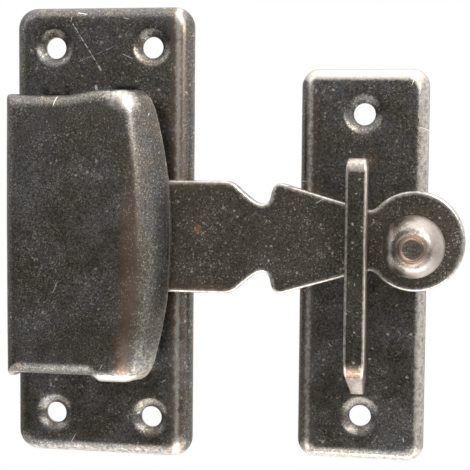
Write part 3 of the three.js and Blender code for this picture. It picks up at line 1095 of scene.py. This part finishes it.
def bar_outline(sides, bar, pivot, disc):
    """The drop bar from its round tail, past the two notches, to its disc."""
    wide = sides.high
    radius = sides.right - disc.x
    tail = pivot.x - sides.left
    join = math.degrees(bar.join_angle)
    meet = arc(disc, radius, join, join, 1)[0] - Vector((0.0, disc.y))

    def mm(x, y):
        return Vector((x * MM, y * MM))

    edge = arc((pivot.x, 0.0), tail, 180, 90, 24) + path(
        (pivot.x, tail),
        (10, (6 * MM, wide)),
        (22, (28.2 * MM, wide)),
        (9, (30.4 * MM, wide), mm(32, 10.3)),
        (5, mm(34.2, 8.5)),
        (14, mm(36.2, 6.9), mm(38.1, 6.7), mm(38.5, 9.2)),
        (14, mm(38.9, 11.3), mm(39.7, 12.4), mm(42.2, 11.45)),
        (20, mm(59.2, 6.5)),
        (4, mm(60.3, 6.25), meet),
    ) + arc((disc.x, 0.0), radius, join, 0, 40)
    lower = [Vector((p.x, -p.y)) for p in edge[1:]]
    upper = edge[1:] + [Vector((sides.right, 0.0))]
    return [edge[0]] + lower + upper[::-1]


def build_bar(sides, bar, pivot, disc, knob_at, material):
    outline = bar_outline(sides, bar, pivot, disc)
    low, high = sides.back, sides.front
    pivot_hole = plain_slot(circle(pivot, bar.pivot_hole), high, high - low)[::-1]
    sunk, soft = 2.1 * MM, 0.15 * MM
    knob_hole = [(circle(knob_at, bar.knob_hole + wider), w, 0.2)
                 for wider, w in ((sunk, low), (0.0, low + sunk), (0.0, high - soft),
                                  (soft, high))]
    shell = slab(outline, low, high, bar.edge, holes=[pivot_hole, knob_hole])

    def rule(u, v, w):
        from_disc = (Vector((u, v)) - disc).length
        rim = between(from_disc, 8.3 * MM, 10.4 * MM) * (u > disc.x - 9 * MM)
        lower_right = 0.5 + 0.5 * between(u - disc.x - v, -6 * MM, 8 * MM)
        top_edge = between(abs(v), 9.5 * MM, 12.0 * MM) * (u < 34 * MM)
        return (0.8 * rim * lower_right, 0.35 * top_edge)

    shell.paint(rule)
    shell.ripple(bar.ripple, 9 * MM, high)
    return shell.build("drop_bar", material)


# ---------------------------------------------------------------------------- hook

def hook_outline(sides, hook):
    """The hook from its side: a foot on the plate, an arm in front, and a mouth above."""
    back = sides_of("keeper_plate").front + GAP
    front, tip, foot = sides.front, sides.high, sides.low
    mouth = (hook.arm_back - back) / 2
    heel = Vector((front - 2.0 * MM, foot + 5.0 * MM))
    toe = Vector((back + 0.9 * MM, foot + 0.1 * MM))
    arm, seat = hook.arm_back, hook.seat
    return path(
        (back, foot + 0.5 * MM),
        (4, (back, foot), toe),
        (14, heel),
        (10, (front, heel.y + 1.2 * MM), (front, heel.y + 4.0 * MM)),
        (42, (front, tip - 3.2 * MM)),
        (10, (front, tip - 1.2 * MM), (front - 0.9 * MM, tip), (front - 2.4 * MM, tip)),
        (3, (front - 4.4 * MM, tip)),
        (8, (arm + 0.8 * MM, tip - 0.4 * MM), (arm, tip - 3.2 * MM)),
        (24, (arm, seat + mouth)),
        (8, (arm, seat), (arm - mouth, seat)),
        (3, (back + MM, seat)),
        (6, (back, seat), (back, seat - MM)),
        (24, (back, foot + 0.5 * MM)),
    )


def build_hook(sides, hook, material):
    middle = (sides.left + sides.right) / 2
    half = (sides.right - sides.left) / 2

    def narrowing(point, w):
        """The foot tapers towards its end, and the tip a little."""
        foot = between(sides.low + 9.0 * MM - point.y, 0.0, 10.0 * MM)
        tip = between(point.y, sides.high - 2.5 * MM, sides.high)
        return middle + (w - middle) * (1 - 0.36 * foot - 0.12 * tip)

    outline = hook_outline(sides, hook)
    shell = slab(outline, middle - half, middle + half, hook.edge, seen_from_side,
                 pitch=1.3 * MM, profile=narrowing, rub=FINE_RUB)

    # At the tip and the foot the bright metal is partly rubbing and partly a painted highlight
    # for light caught from above and below; the right edge is rubbed.
    def rule(u, v, w):
        tip = between(v, sides.high - 4.0 * MM, sides.high - 2.4 * MM)
        foot = between(-v, -sides.low - 7.0 * MM, -sides.low - 4.6 * MM)
        right = (between(w - middle, 0.7 * half, 0.9 * half)
                 * between(sides.front - u, 8.5 * MM, 2.0 * MM))
        golden = math.exp(-((v - sides.low - 6.4 * MM) / (1.2 * MM)) ** 2)
        return (max(0.72 * tip, 0.8 * foot, 0.8 * right), 0.8 * golden)

    shell.paint(rule)
    return shell.build("keeper_hook_web", material)


# ---------------------------------------------------------------------------- turned pieces

def turned_size(sides):
    """The back, the front and the radius of a turned piece, in millimetres."""
    return sides.back / MM, sides.front / MM, (sides.right - sides.left) / 2 / MM


def knob_profile(sides, seat, knob):
    """The mushroom knob from its riveted end to the shallow dish in its face."""
    foot, top, radius = turned_size(sides)
    face, spigot = knob.face / MM, knob.spigot / MM
    base = seat / MM
    neck = [(0.0, foot, 0.2, 0.0), (spigot + 0.9, foot, 0.4, 0.0),
            (spigot, foot + 1.2, 0.2, 0.0), (spigot, base, 0.0, 0.0),
            (3.9, base, 0.2, 0.3), (3.9, base + 1.2, 0.2, 0.4), (5.0, base + 2.5, 0.3, 0.3),
            (radius - 0.35, base + 3.5, 0.7, 0.2)]
    side = [(radius, base + 4.2, 0.8, 0.0), (radius, base + 4.8, 0.8, 0.0)]
    dome = []
    steps = 16
    shoulder, brow = base + 4.9, top - 1.15
    for i in range(1, steps):
        t = i / steps
        turn = math.radians(90 * t)
        out = face + 0.6 + (radius - face - 0.6) * math.cos(turn) ** 0.85
        dome.append((out, shoulder + (brow - shoulder) * math.sin(turn) ** 1.05,
                     0.64 - 0.2 * between(t, 0.75, 1.0), 0.0))
    rim = [(face + 0.5, brow + 0.3, 0.3, 0.4), (face + 0.36, top - 0.2, 0.1, 0.45),
           (face + 0.16, top, 0.2, 0.45), (face - 0.05, top, 0.0, 0.45),
           (face - 0.3, top - 0.2, 0.0, 0.3), (face * 0.5, top - 0.26, 0.0, 0.0),
           (0.0, top - 0.24, 0.0, 0.0)]
    return softened(neck + side, 0.35) + dome + softened(rim, 0.18, 3)


def rivet_profile(sides, seat, shank):
    """A domed head, a shank, and a spread end behind the plate."""
    foot, top, head = turned_size(sides)
    inside = (sides_of("latch_plate").front - BEHIND_SHEET) / MM
    shank, base = shank / MM, seat / MM
    brim = base + 0.6
    tail = [(0.0, foot, 0.2, 0.0), (head - 1.4, foot, 0.2, 0.0),
            (head - 0.4, foot + 0.5, 0.3, 0.0), (head - 0.4, inside, 0.1, 0.0),
            (shank, inside, 0.0, 0.0), (shank, base, 0.0, 0.0), (head, base, 0.2, 0.0),
            (head, brim, 0.7, 0.0)]
    dome = [(head * math.cos(turn), brim + (top - brim) * math.sin(turn), 0.5, 0.0)
            for turn in quarter(10)[1:]]
    return softened(tail, 0.25) + dome


def pin_profile(sides, spigot):
    """The stop: a plain pin with a spread end behind the plate."""
    foot, top, spread = turned_size(sides)
    face = sides_of("latch_plate").front
    inside, outside = (face - BEHIND_SHEET) / MM, (face + GAP) / MM
    spigot, radius = spigot / MM, spread - 0.3
    return softened([
        (0.0, foot, 0.2, 0.0), (spread, foot, 0.3, 0.0), (spread, inside, 0.1, 0.0),
        (spigot, inside, 0.0, 0.0), (spigot, outside, 0.0, 0.0), (radius, outside, 0.1, 0.0),
        (radius, top - 0.5, 0.6, 0.0), (radius - 0.5, top, 0.7, 0.0), (0.0, top, 0.4, 0.0),
    ], 0.2)


def ring_profile(sides, bore):
    """A flat ring with softened edges."""
    low, high, outer = turned_size(sides)
    inner, middle = bore / MM, (low + high) / 2
    return softened([
        (inner, middle, 0.0, 0.0), (inner, low, 0.1, 0.0), (outer, low, 0.4, 0.0),
        (outer, high, 0.5, 0.0), (inner, high, 0.2, 0.0), (inner, middle, 0.0, 0.0),
    ], 0.15)


# ---------------------------------------------------------------------------- settings

def length(name, description, default):
    return FloatProperty(name=name, description=description, default=default * MM, min=0.0,
                         precision=5, unit="LENGTH")


def position(name, description, default):
    """A length that may also be less than nothing."""
    return FloatProperty(name=name, description=description, default=default * MM,
                         precision=5, unit="LENGTH")


def angle(name, description, default):
    return FloatProperty(name=name, description=description, default=math.radians(default),
                         unit="ROTATION")


def number(name, description, default):
    return FloatProperty(name=name, description=description, default=default, min=0.0)


def count(name, description, default):
    return IntProperty(name=name, description=description, default=default, min=1)


def colour(name, description, default):
    return FloatVectorProperty(name=name, description=description, default=default, size=3,
                               min=0.0, max=1.0, subtype="COLOR")


class LATCH_PG_plates(bpy.types.PropertyGroup):
    """Sizes that the two pressed plates share"""
    roll: length("Roll", "Radius of the rolled edge", 3.0)
    sheet: length("Sheet", "Thickness of the steel", 1.6)
    corner_ease: number("Corner ease", "How fast the corners tighten over the roll", 0.5)
    latch_corner: length("Latch corner", "Corner radius of the latch plate", 4.5)
    keeper_corner: length("Keeper corner", "Corner radius of the keeper plate", 3.8)
    hole: length("Hole", "Radius of a screw hole", 2.35)
    dish: length("Dish", "Radius of the dish round a screw hole", 4.6)
    dish_depth: length("Dish depth", "How far the dish is pressed in", 1.15)
    edge_to_screw_side: length("Screw from side", "From the latch plate's side", 9.1)
    edge_to_screw_end: length("Screw from end", "From the latch plate's end", 8.9)
    keeper_screw_end: length("Keeper screw from end", "From the keeper plate's end", 9.7)
    ripple: length("Ripple", "How uneven the pressing is", 0.07)
    pitch: length("Pitch", "Size of the mesh on the flat", 1.6)
    roll_steps: count("Roll steps", "Rings of mesh over the rolled edge", 12)


class LATCH_PG_case(bpy.types.PropertyGroup):
    """Sizes of the boxed case"""
    sheet: length("Sheet", "Thickness of the steel", 1.2)
    roll: length("Roll", "Radius of the edges round the front", 3.0)
    cheek: length("Cheek", "How far the sloping side's free edge stands proud", 9.4)
    slope: length("Slope", "How far the side leans in from its edge to the crest", 7.2)
    bulge: length("Bulge", "How far the side's middle stands out past its corners", 3.6)
    corner: length("Corner", "Corner radius of the sloping side", 4.6)
    flare: length("Flare", "How much wider the case is at the bar than at the left", 1.3)
    flare_start: position("Flare start", "Where the upper flare starts", -6.0)
    flare_end: length("Flare end", "Where the upper flare ends", 3.0)
    step_start: length("Step start", "Where the lower side steps out", 0.1)
    step_end: length("Step end", "Where the lower step ends", 2.6)
    open_at: length("Open at", "Where the walls stop, for the bar", 9.0)
    crown: length("Crown", "How far the front falls away at its ends", 0.55)
    ear_high: length("Upper ear", "How far the left wall passes the upper one", 0.45)
    ear_low: length("Lower ear", "How far the left wall passes the lower one", 1.25)
    tab_width: length("Tab width", "Width of the folded tabs", 5.0)
    tab_foot: length("Tab foot", "Length of the tabs' folded ends", 3.0)
    ripple: length("Ripple", "How uneven the pressing is", 0.16)
    wall_steps: count("Wall steps", "Rings of mesh up the walls", 8)
    roll_steps: count("Roll steps", "Rings of mesh over the rolled edge", 14)


class LATCH_PG_bar(bpy.types.PropertyGroup):
    """Sizes of the drop bar"""
    edge: length("Edge", "Radius of the rounded edges", 0.55)
    pivot_hole: length("Pivot hole", "Radius of the hole for the rivet", 3.3)
    knob_hole: length("Knob hole", "Radius of the hole for the knob", 2.5)
    disc: length("Disc", "Radius of the round end", 10.6)
    join_angle: angle("Join angle", "Where the neck meets the round end", 136.8)
    ripple: length("Ripple", "How uneven the faces are", 0.05)


class LATCH_PG_hook(bpy.types.PropertyGroup):
    """Sizes of the keeper's hook"""
    arm_back: length("Arm back", "How far the back of the arm stands proud", 9.0)
    seat: position("Seat", "Height of the mouth's bottom", -8.0)
    edge: length("Edge", "Radius of the rounded edges", 0.5)
    tenon_width: length("Tenon width", "Width of the tenons", 2.6)
    tenon_length: length("Tenon length", "Length of the tenons", 4.0)
    tenon_grow: length("Tenon spread", "How far a tenon's riveted end spreads", 0.9)
    upper_tenon: length("Upper tenon", "Height of the upper tenon over the foot", 21.1)
    lower_tenon: length("Lower tenon", "Height of the lower tenon over the foot", 8.1)


class LATCH_PG_turned(bpy.types.PropertyGroup):
    """Sizes of the turned pieces"""
    face: length("Knob face", "Radius of the flat on the knob", 2.35)
    spigot: length("Knob spigot", "Radius of the knob's riveted spigot", 2.2)
    shank: length("Rivet shank", "Radius of the pivot rivet's shank", 3.0)
    stop_spigot: length("Stop spigot", "Radius of the stop pin's spigot", 1.8)
    bore: length("Ring bore", "Radius of the hole in the spacer and the washer", 3.3)
    sides: count("Sides", "Faces round a turned piece", 96)


class LATCH_PG_finish(bpy.types.PropertyGroup):
    """Colours of the steel"""
    warm: colour("Warm black", "Blackened steel where it is brownish", (0.2, 0.176, 0.147))
    cool: colour("Cool black", "Blackened steel where it is bluish", (0.157, 0.163, 0.177))
    copper: colour("Copper", "Heat tint along bends", (0.4, 0.25, 0.17))
    # The rubbed colour is also the colour of the painted highlights on the plates and the case.
    rubbed: colour("Rubbed", "Metal showing through on edges", (0.56, 0.525, 0.49))
    bright: colour("Bright", "Metal polished by handling", (0.74, 0.655, 0.595))
    polished: colour("Polished", "The knob, polished by fingers", (0.38, 0.333, 0.304))
    rust: colour("Rust", "Rust stain on the bar", (0.3, 0.17, 0.08))


class LATCH_PG_stage(bpy.types.PropertyGroup):
    """Camera, lights and floor"""
    azimuth: angle("Azimuth", "How far the camera stands to the right of straight on", 10.2)
    elevation: angle("Elevation", "How high the camera looks down from", 4.0)
    roll: angle("Roll", "Tilt of the camera about its own axis", 0.51)
    distance: length("Distance", "From the camera to the point it aims at", 270.0)
    lens: FloatProperty(name="Lens", description="Focal length in millimetres",
                        default=95.74, unit="CAMERA")
    floor_drop: length("Floor drop", "From the latch down to the floor", 330.0)
    floor_radius: length("Floor radius", "Radius of the floor", 600.0)
    floor: colour("Floor", "Colour of the floor", (0.86, 0.86, 0.85))
    key: number("Key light", "Power of the light from the upper right, in watts", 2.9)
    fill: number("Fill light", "Power of the light from the left, in watts", 0.8)
    under: number("Under light", "Power of the light from below, in watts", 0.65)
    room: number("Room", "Brightness of the white surroundings", 0.85)
    above: number("Above", "Extra brightness above and below", 1.35)
    shade: number("Shade", "Brightness of the dark side that faces the latch", 0.235)


# ---------------------------------------------------------------------------- operators

class LATCH_OT_plates(bpy.types.Operator):
    """Press the latch plate and the keeper plate"""
    bl_idname = "latch.plates"
    bl_label = "Plates"

    def execute(self, context):
        plate = context.scene.latch_plates
        hook = context.scene.latch_hook
        case = context.scene.latch_case
        material = worn_steel(
            "plate", context.scene.latch_finish, scratches=plate_scratches())
        latch = sides_of("latch_plate")
        reach_x = latch.right - plate.edge_to_screw_side
        reach_y = latch.high - plate.edge_to_screw_end
        screws = [(x, y) for x in (-reach_x, reach_x) for y in (-reach_y, reach_y)]
        slots = [circle(middle_of("pivot_rivet"), context.scene.latch_turned.bore),
                 circle(middle_of("stop_pin"), context.scene.latch_turned.stop_spigot + GAP)]
        for x, y, _ in tab_places(case):
            centre = (x, y - math.copysign(case.sheet / 2, y))
            slots.append(box_outline(centre, case.tab_width / 2 + GAP,
                                     case.sheet / 2 + GAP, 0.3 * MM))
        made = pressed_plate("latch_plate", plate.latch_corner, screws, slots, plate,
                             latch_plate_wear_and_sheen(latch, plate), material)
        settle(made, "latch_plate", "latch")
        keeper = sides_of("keeper_plate")
        middle = middle_of("keeper_plate")
        screws = [(middle.x, keeper.low + plate.keeper_screw_end),
                  (middle.x, keeper.high - plate.keeper_screw_end)]
        slots = [box_outline((x, y), hook.tenon_width / 2 + GAP,
                             hook.tenon_length / 2 + GAP, 0.4 * MM)
                 for x, y, _ in tenon_places(hook)]
        made = pressed_plate("keeper_plate", plate.keeper_corner, screws, slots, plate,
                             keeper_plate_wear_and_sheen(keeper, plate), material)
        settle(made, "keeper_plate", "keeper")
        return {"FINISHED"}


def plate_scratches():
    """A long scratch, two nicks and a fine line over the case.

    Each is a start and a finish, and a width in millimetres.
    """
    front = -sides_of("latch_plate").front
    marks = (((-6.9, 46.4), (-0.6, 36.6), 0.13), ((-0.9, 37.1), (-0.4, 36.2), 0.22),
             ((-1.5, 32.6), (-1.3, 31.6), 0.26), ((-5.5, 38.0), (3.2, 41.5), 0.05))
    return [
        (*(Vector((x * MM, front, up * MM)) for x, up in (start, finish)), width)
        for start, finish, width in marks
    ]


def tab_places(case):
    """Where the case's four tabs go through the plate: x, up and turn."""
    sides = sides_of("case_cover")
    narrow, wide = sides.high - case.flare, sides.high
    places = []
    for x, half in ((-10.5 * MM, narrow), (5.0 * MM, wide)):
        places += [(x, half, 0.0), (x, -half, 180.0)]
    return places


def tenon_places(hook):
    """Where the hook's two tenons go through the plate."""
    sides = sides_of("keeper_hook")
    x = (sides.left + sides.right) / 2
    return [(x, sides.low + up, 0.0) for up in (hook.upper_tenon, hook.lower_tenon)]


class LATCH_OT_case(bpy.types.Operator):
    """Fold the case over the pivot, with the four tabs that hold it"""
    bl_idname = "latch.case"
    bl_label = "Case"

    def execute(self, context):
        case = context.scene.latch_case
        sides = sides_of("case_cover")
        material = worn_steel("case", context.scene.latch_finish)
        made = build_case(sides, case, material)
        settle(made, "case_cover", "latch")
        block = folded_tab(case, sides).build("tab_block", material)
        tabs = repeated("case_tabs", block, tab_places(case), material)
        settle(tabs, "case_cover", "latch")
        return {"FINISHED"}


STAIN = (22.6 * MM, 1.7 * MM, 1.5 * MM)  # x, up and radius, on the bar's face


class LATCH_OT_bar(bpy.types.Operator):
    """Cut the drop bar"""
    bl_idname = "latch.bar"
    bl_label = "Drop bar"

    def execute(self, context):
        sides = sides_of("latch_bar")
        bar = context.scene.latch_bar
        pivot = middle_of("pivot_rivet")
        disc = Vector((sides.right - bar.disc, 0.0))
        x, up, radius = STAIN
        stain = (Vector((x, -sides.front, up)), radius)
        material = worn_steel("bar", context.scene.latch_finish, stain)
        made = build_bar(sides, bar, pivot, disc, middle_of("knob"), material)
        settle(made, "latch_bar", "bar")
        return {"FINISHED"}


class LATCH_OT_hook(bpy.types.Operator):
    """Cut the keeper's hook and rivet its tenons"""
    bl_idname = "latch.hook"
    bl_label = "Keeper hook"

    def execute(self, context):
        sides = sides_of("keeper_hook")
        hook = context.scene.latch_hook
        material = worn_steel("hook", context.scene.latch_finish)
        made = build_hook(sides, hook, material)
        settle(made, "keeper_hook", "keeper")
        block = riveted_tenon(sides, hook).build("tenon_block", material)
        tenons = repeated("hook_tenons", block, tenon_places(hook), material)
        settle(tenons, "keeper_hook", "keeper")
        return {"FINISHED"}


def riveted_tenon(sides, hook):
    """One tenon, drawn at the middle of the door: a shank with a spread end behind."""
    shell = Shell()
    face = sides_of("keeper_plate").front
    inside, top = face - BEHIND_SHEET, face + 1.5 * MM
    soft = 0.25 * MM
    levels = [(soft, sides.back, 1.0), (0.0, sides.back + soft, 1.0), (0.0, inside - soft, 1.0),
              (soft, inside, 1.0), (0.0, inside, 0.0), (0.0, top, 0.0)]
    rings = []
    for depth, w, spread in levels:
        grow = spread * hook.tenon_grow - depth
        outline = box_outline((0.0, 0.0), hook.tenon_width / 2 + grow,
                              hook.tenon_length / 2 + grow, 0.35 * MM + 0.5 * max(0.0, grow))
        rings.append(shell.ring(outline, w, 0.4))
    shell.bridge(*rings)
    whole = hook.tenon_length + 2 * hook.tenon_grow
    shell.cap(rings[0], [], whole, sides.back)
    shell.cap(rings[-1], [], whole, top)
    return shell


class LATCH_OT_knob(bpy.types.Operator):
    """Turn the knob"""
    bl_idname = "latch.knob"
    bl_label = "Knob"

    def execute(self, context):
        sizes = context.scene.latch_turned
        seat = sides_of("latch_bar").front + GAP
        sides = sides_of("knob")
        profile = knob_profile(sides, seat, sizes)
        middle = middle_of("knob")
        material = worn_steel("knob", context.scene.latch_finish)
        made = turned("turned_knob", profile, middle, material, sizes.sides)
        # Painted shade on the knob's left side, with one painted streak of reflected light.
        paint_shade_on_knob_left(made.data, middle.x)
        settle(made, "knob", "bar")
        return {"FINISHED"}


def paint_shade_on_knob_left(mesh, middle):
    """Paints shade on the knob left of its middle by taking away its polish there, but for one
    painted streak of reflected light.
    """
    for point, wear in zip(mesh.vertices, mesh.attributes["wear"].data):
        left = middle - point.co.x
        reflected_streak = math.exp(-((left - 4.4 * MM) / (0.6 * MM)) ** 2)
        dull = between(left, 0.0, 3.6 * MM) * between(left, 6.4 * MM, 5.4 * MM)
        wear.value *= 1 - 0.7 * dull * (1 - reflected_streak)


class LATCH_OT_pivot(bpy.types.Operator):
    """Turn the pivot rivet, its spacer and washer, and the stop pin"""
    bl_idname = "latch.pivot"
    bl_label = "Pivot and stop"

    def execute(self, context):
        sizes = context.scene.latch_turned
        material = worn_steel("rivet", context.scene.latch_finish)
        seat = sides_of("pivot_washer").front + GAP
        profiles = {
            "pivot_rivet": rivet_profile(sides_of("pivot_rivet"), seat, sizes.shank),
            "pivot_spacer": ring_profile(sides_of("pivot_spacer"), sizes.bore),
            "pivot_washer": ring_profile(sides_of("pivot_washer"), sizes.bore),
            "stop_pin": pin_profile(sides_of("stop_pin"), sizes.stop_spigot),
        }
        for node, profile in profiles.items():
            made = turned("turned_" + node, profile, middle_of(node), material, sizes.sides)
            settle(made, node, "latch")
        return {"FINISHED"}


class LATCH_OT_stage(bpy.types.Operator):
    """Set up the camera, the lights, the white room and the floor"""
    bl_idname = "latch.stage"
    bl_label = "Stage"

    def execute(self, context):
        stage = context.scene.latch_stage
        middle = (CAD_LOW + CAD_HIGH) / 2
        set_camera(context.scene, stage, middle)
        set_lights(stage, middle)
        set_room(context.scene, stage)
        set_floor(stage, middle)
        context.scene.view_settings.view_transform = "Standard"
        return {"FINISHED"}


def away_from_latch(turn, lift):
    """The direction from the latch to what stands round to its right and above it."""
    return Vector((math.sin(turn) * math.cos(lift), -math.cos(turn) * math.cos(lift),
                   math.sin(lift)))


def set_camera(scene, stage, middle):
    back = away_from_latch(stage.azimuth, stage.elevation)
    aim = middle + Vector((0.9, 3.7, 0.5)) * MM
    data = bpy.data.cameras.new("camera")
    data.lens = stage.lens
    data.sensor_width = 36.0
    data.clip_start = 0.01
    camera = bpy.data.objects.new("camera", data)
    scene.collection.objects.link(camera)
    camera.location = aim + back * stage.distance
    looking = (-back).to_track_quat("-Z", "Y").to_matrix()
    tilt = looking.copy()
    cosine, sine = math.cos(stage.roll), math.sin(stage.roll)
    right, up = looking.col[0], looking.col[1]
    tilt.col[0] = cosine * right + sine * up
    tilt.col[1] = cosine * up - sine * right
    camera.rotation_euler = tilt.to_euler()
    scene.camera = camera


def soft_light(name, middle, turn, lift, distance, size, power, tone):
    """An upright soft light that looks at the latch from degrees round and above it."""
    away = away_from_latch(math.radians(turn), math.radians(lift))
    data = bpy.data.lights.new(name, "AREA")
    data.shape = "RECTANGLE"
    data.size, data.size_y = size
    data.energy = power
    data.color = tone
    light = bpy.data.objects.new(name, data)
    bpy.context.scene.collection.objects.link(light)
    light.location = middle + away * distance
    light.rotation_euler = (-away).to_track_quat("-Z", "Y").to_euler()


def set_lights(stage, middle):
    soft_light("key", middle, 33, 30, 0.7, (0.16, 0.5), stage.key, (1.0, 0.99, 0.97))
    soft_light("fill", middle, -62, 30, 0.8, (0.3, 0.5), stage.fill, (0.9, 0.95, 1.0))
    soft_light("under", middle, 22, -66, 0.3, (0.4, 0.2), stage.under, (1.0, 1.0, 0.98))


def set_room(scene, stage):
    """White all round, but for a darker side where the viewer stands."""
    world = bpy.data.worlds.new("room")
    scene.world = world
    world.use_nodes = True
    tree = world.node_tree
    tree.nodes.clear()
    way = add_node(tree, "ShaderNodeTexCoord").outputs["Generated"]
    parts = add_node(tree, "ShaderNodeSeparateXYZ", {0: way}).outputs
    facing = vector_maths(tree, "DOT_PRODUCT", way, (-0.15, -0.98, -0.1))
    sides = product(tree, ramp(tree, facing, 0.2, 0.8, stage.room, 0.0),
                    ramp(tree, parts["X"], -0.9, 0.6, 0.42, 1.0))
    steep = ramp(tree, maths(tree, "ABSOLUTE", parts["Z"]), 0.42, 0.95, 0.0, stage.above)
    shade = ramp(tree, parts["Z"], -0.26, 0.16, 0.06 * stage.shade, 1.8 * stage.shade)
    level = maths(tree, "ADD", maths(tree, "ADD", sides, steep), shade)
    lit, seen = (
        add_node(tree, "ShaderNodeBackground", {"Color": tone, "Strength": strength}).outputs[0]
        for tone, strength in (((1.0, 0.99, 0.97, 1.0), level), ((1.0, 1.0, 1.0, 1.0), 1.0))
    )
    ray = add_node(tree, "ShaderNodeLightPath").outputs["Is Camera Ray"]
    mixed = add_node(tree, "ShaderNodeMixShader", {0: ray, 1: lit, 2: seen})
    end = tree.nodes.new("ShaderNodeOutputWorld")
    tree.links.new(mixed.outputs[0], end.inputs["Surface"])


def set_floor(stage, middle):
    mesh = bpy.data.meshes.new("floor")
    low = middle.z - stage.floor_drop
    rim = circle((middle.x, middle.y), stage.floor_radius, 64)
    mesh.from_pydata([(p.x, p.y, low) for p in rim], [], [tuple(range(len(rim)))])
    material = bpy.data.materials.new("floor")
    material.use_nodes = True
    tree = material.node_tree
    shader = tree.nodes["Principled BSDF"].inputs
    place = add_node(tree, "ShaderNodeTexCoord").outputs["Object"]
    patches = add_node(tree, "ShaderNodeTexNoise", {"Vector": place, "Scale": 3.0}).outputs[0]
    paler = (min(1.0, c + 0.03) for c in stage.floor)
    tint = blend_colours(tree, patches, (*stage.floor, 1.0), (*paler, 1.0))
    tree.links.new(tint, shader["Base Color"])
    shader["Roughness"].default_value = 0.9
    mesh.materials.append(material)
    show("floor", mesh)


# ---------------------------------------------------------------------------- panel

SETTINGS = (
    ("latch_plates", LATCH_PG_plates), ("latch_case", LATCH_PG_case),
    ("latch_bar", LATCH_PG_bar), ("latch_hook", LATCH_PG_hook),
    ("latch_turned", LATCH_PG_turned), ("latch_finish", LATCH_PG_finish),
    ("latch_stage", LATCH_PG_stage),
)
OPERATORS = (
    LATCH_OT_stage, LATCH_OT_plates, LATCH_OT_case, LATCH_OT_bar, LATCH_OT_hook,
    LATCH_OT_knob, LATCH_OT_pivot,
)


class LATCH_PT_panel(bpy.types.Panel):
    """Lists the latch's settings and the operators that build it"""
    bl_label = "Lift latch"
    bl_idname = "LATCH_PT_panel"
    bl_space_type = "VIEW_3D"
    bl_region_type = "UI"
    bl_category = "Latch"

    def draw(self, context):
        for operator in OPERATORS:
            self.layout.operator(operator.bl_idname)
        for label, group in SETTINGS:
            box = self.layout.box()
            box.label(text=group.__doc__)
            for name in group.__annotations__:
                box.prop(getattr(context.scene, label), name)


def register():
    for label, group in SETTINGS:
        bpy.utils.register_class(group)
        setattr(bpy.types.Scene, label, PointerProperty(type=group))
    for entry in (*OPERATORS, LATCH_PT_panel):
        bpy.utils.register_class(entry)


def unregister():
    for entry in (LATCH_PT_panel, *reversed(OPERATORS)):
        bpy.utils.unregister_class(entry)
    for label, group in reversed(SETTINGS):
        delattr(bpy.types.Scene, label)
        bpy.utils.unregister_class(group)


def main():
    register()
    bpy.ops.latch.stage()
    bpy.ops.latch.plates()
    bpy.ops.latch.case()
    bpy.ops.latch.bar()
    bpy.ops.latch.hook()
    bpy.ops.latch.knob()
    bpy.ops.latch.pivot()


if __name__ == "__main__":
    main()
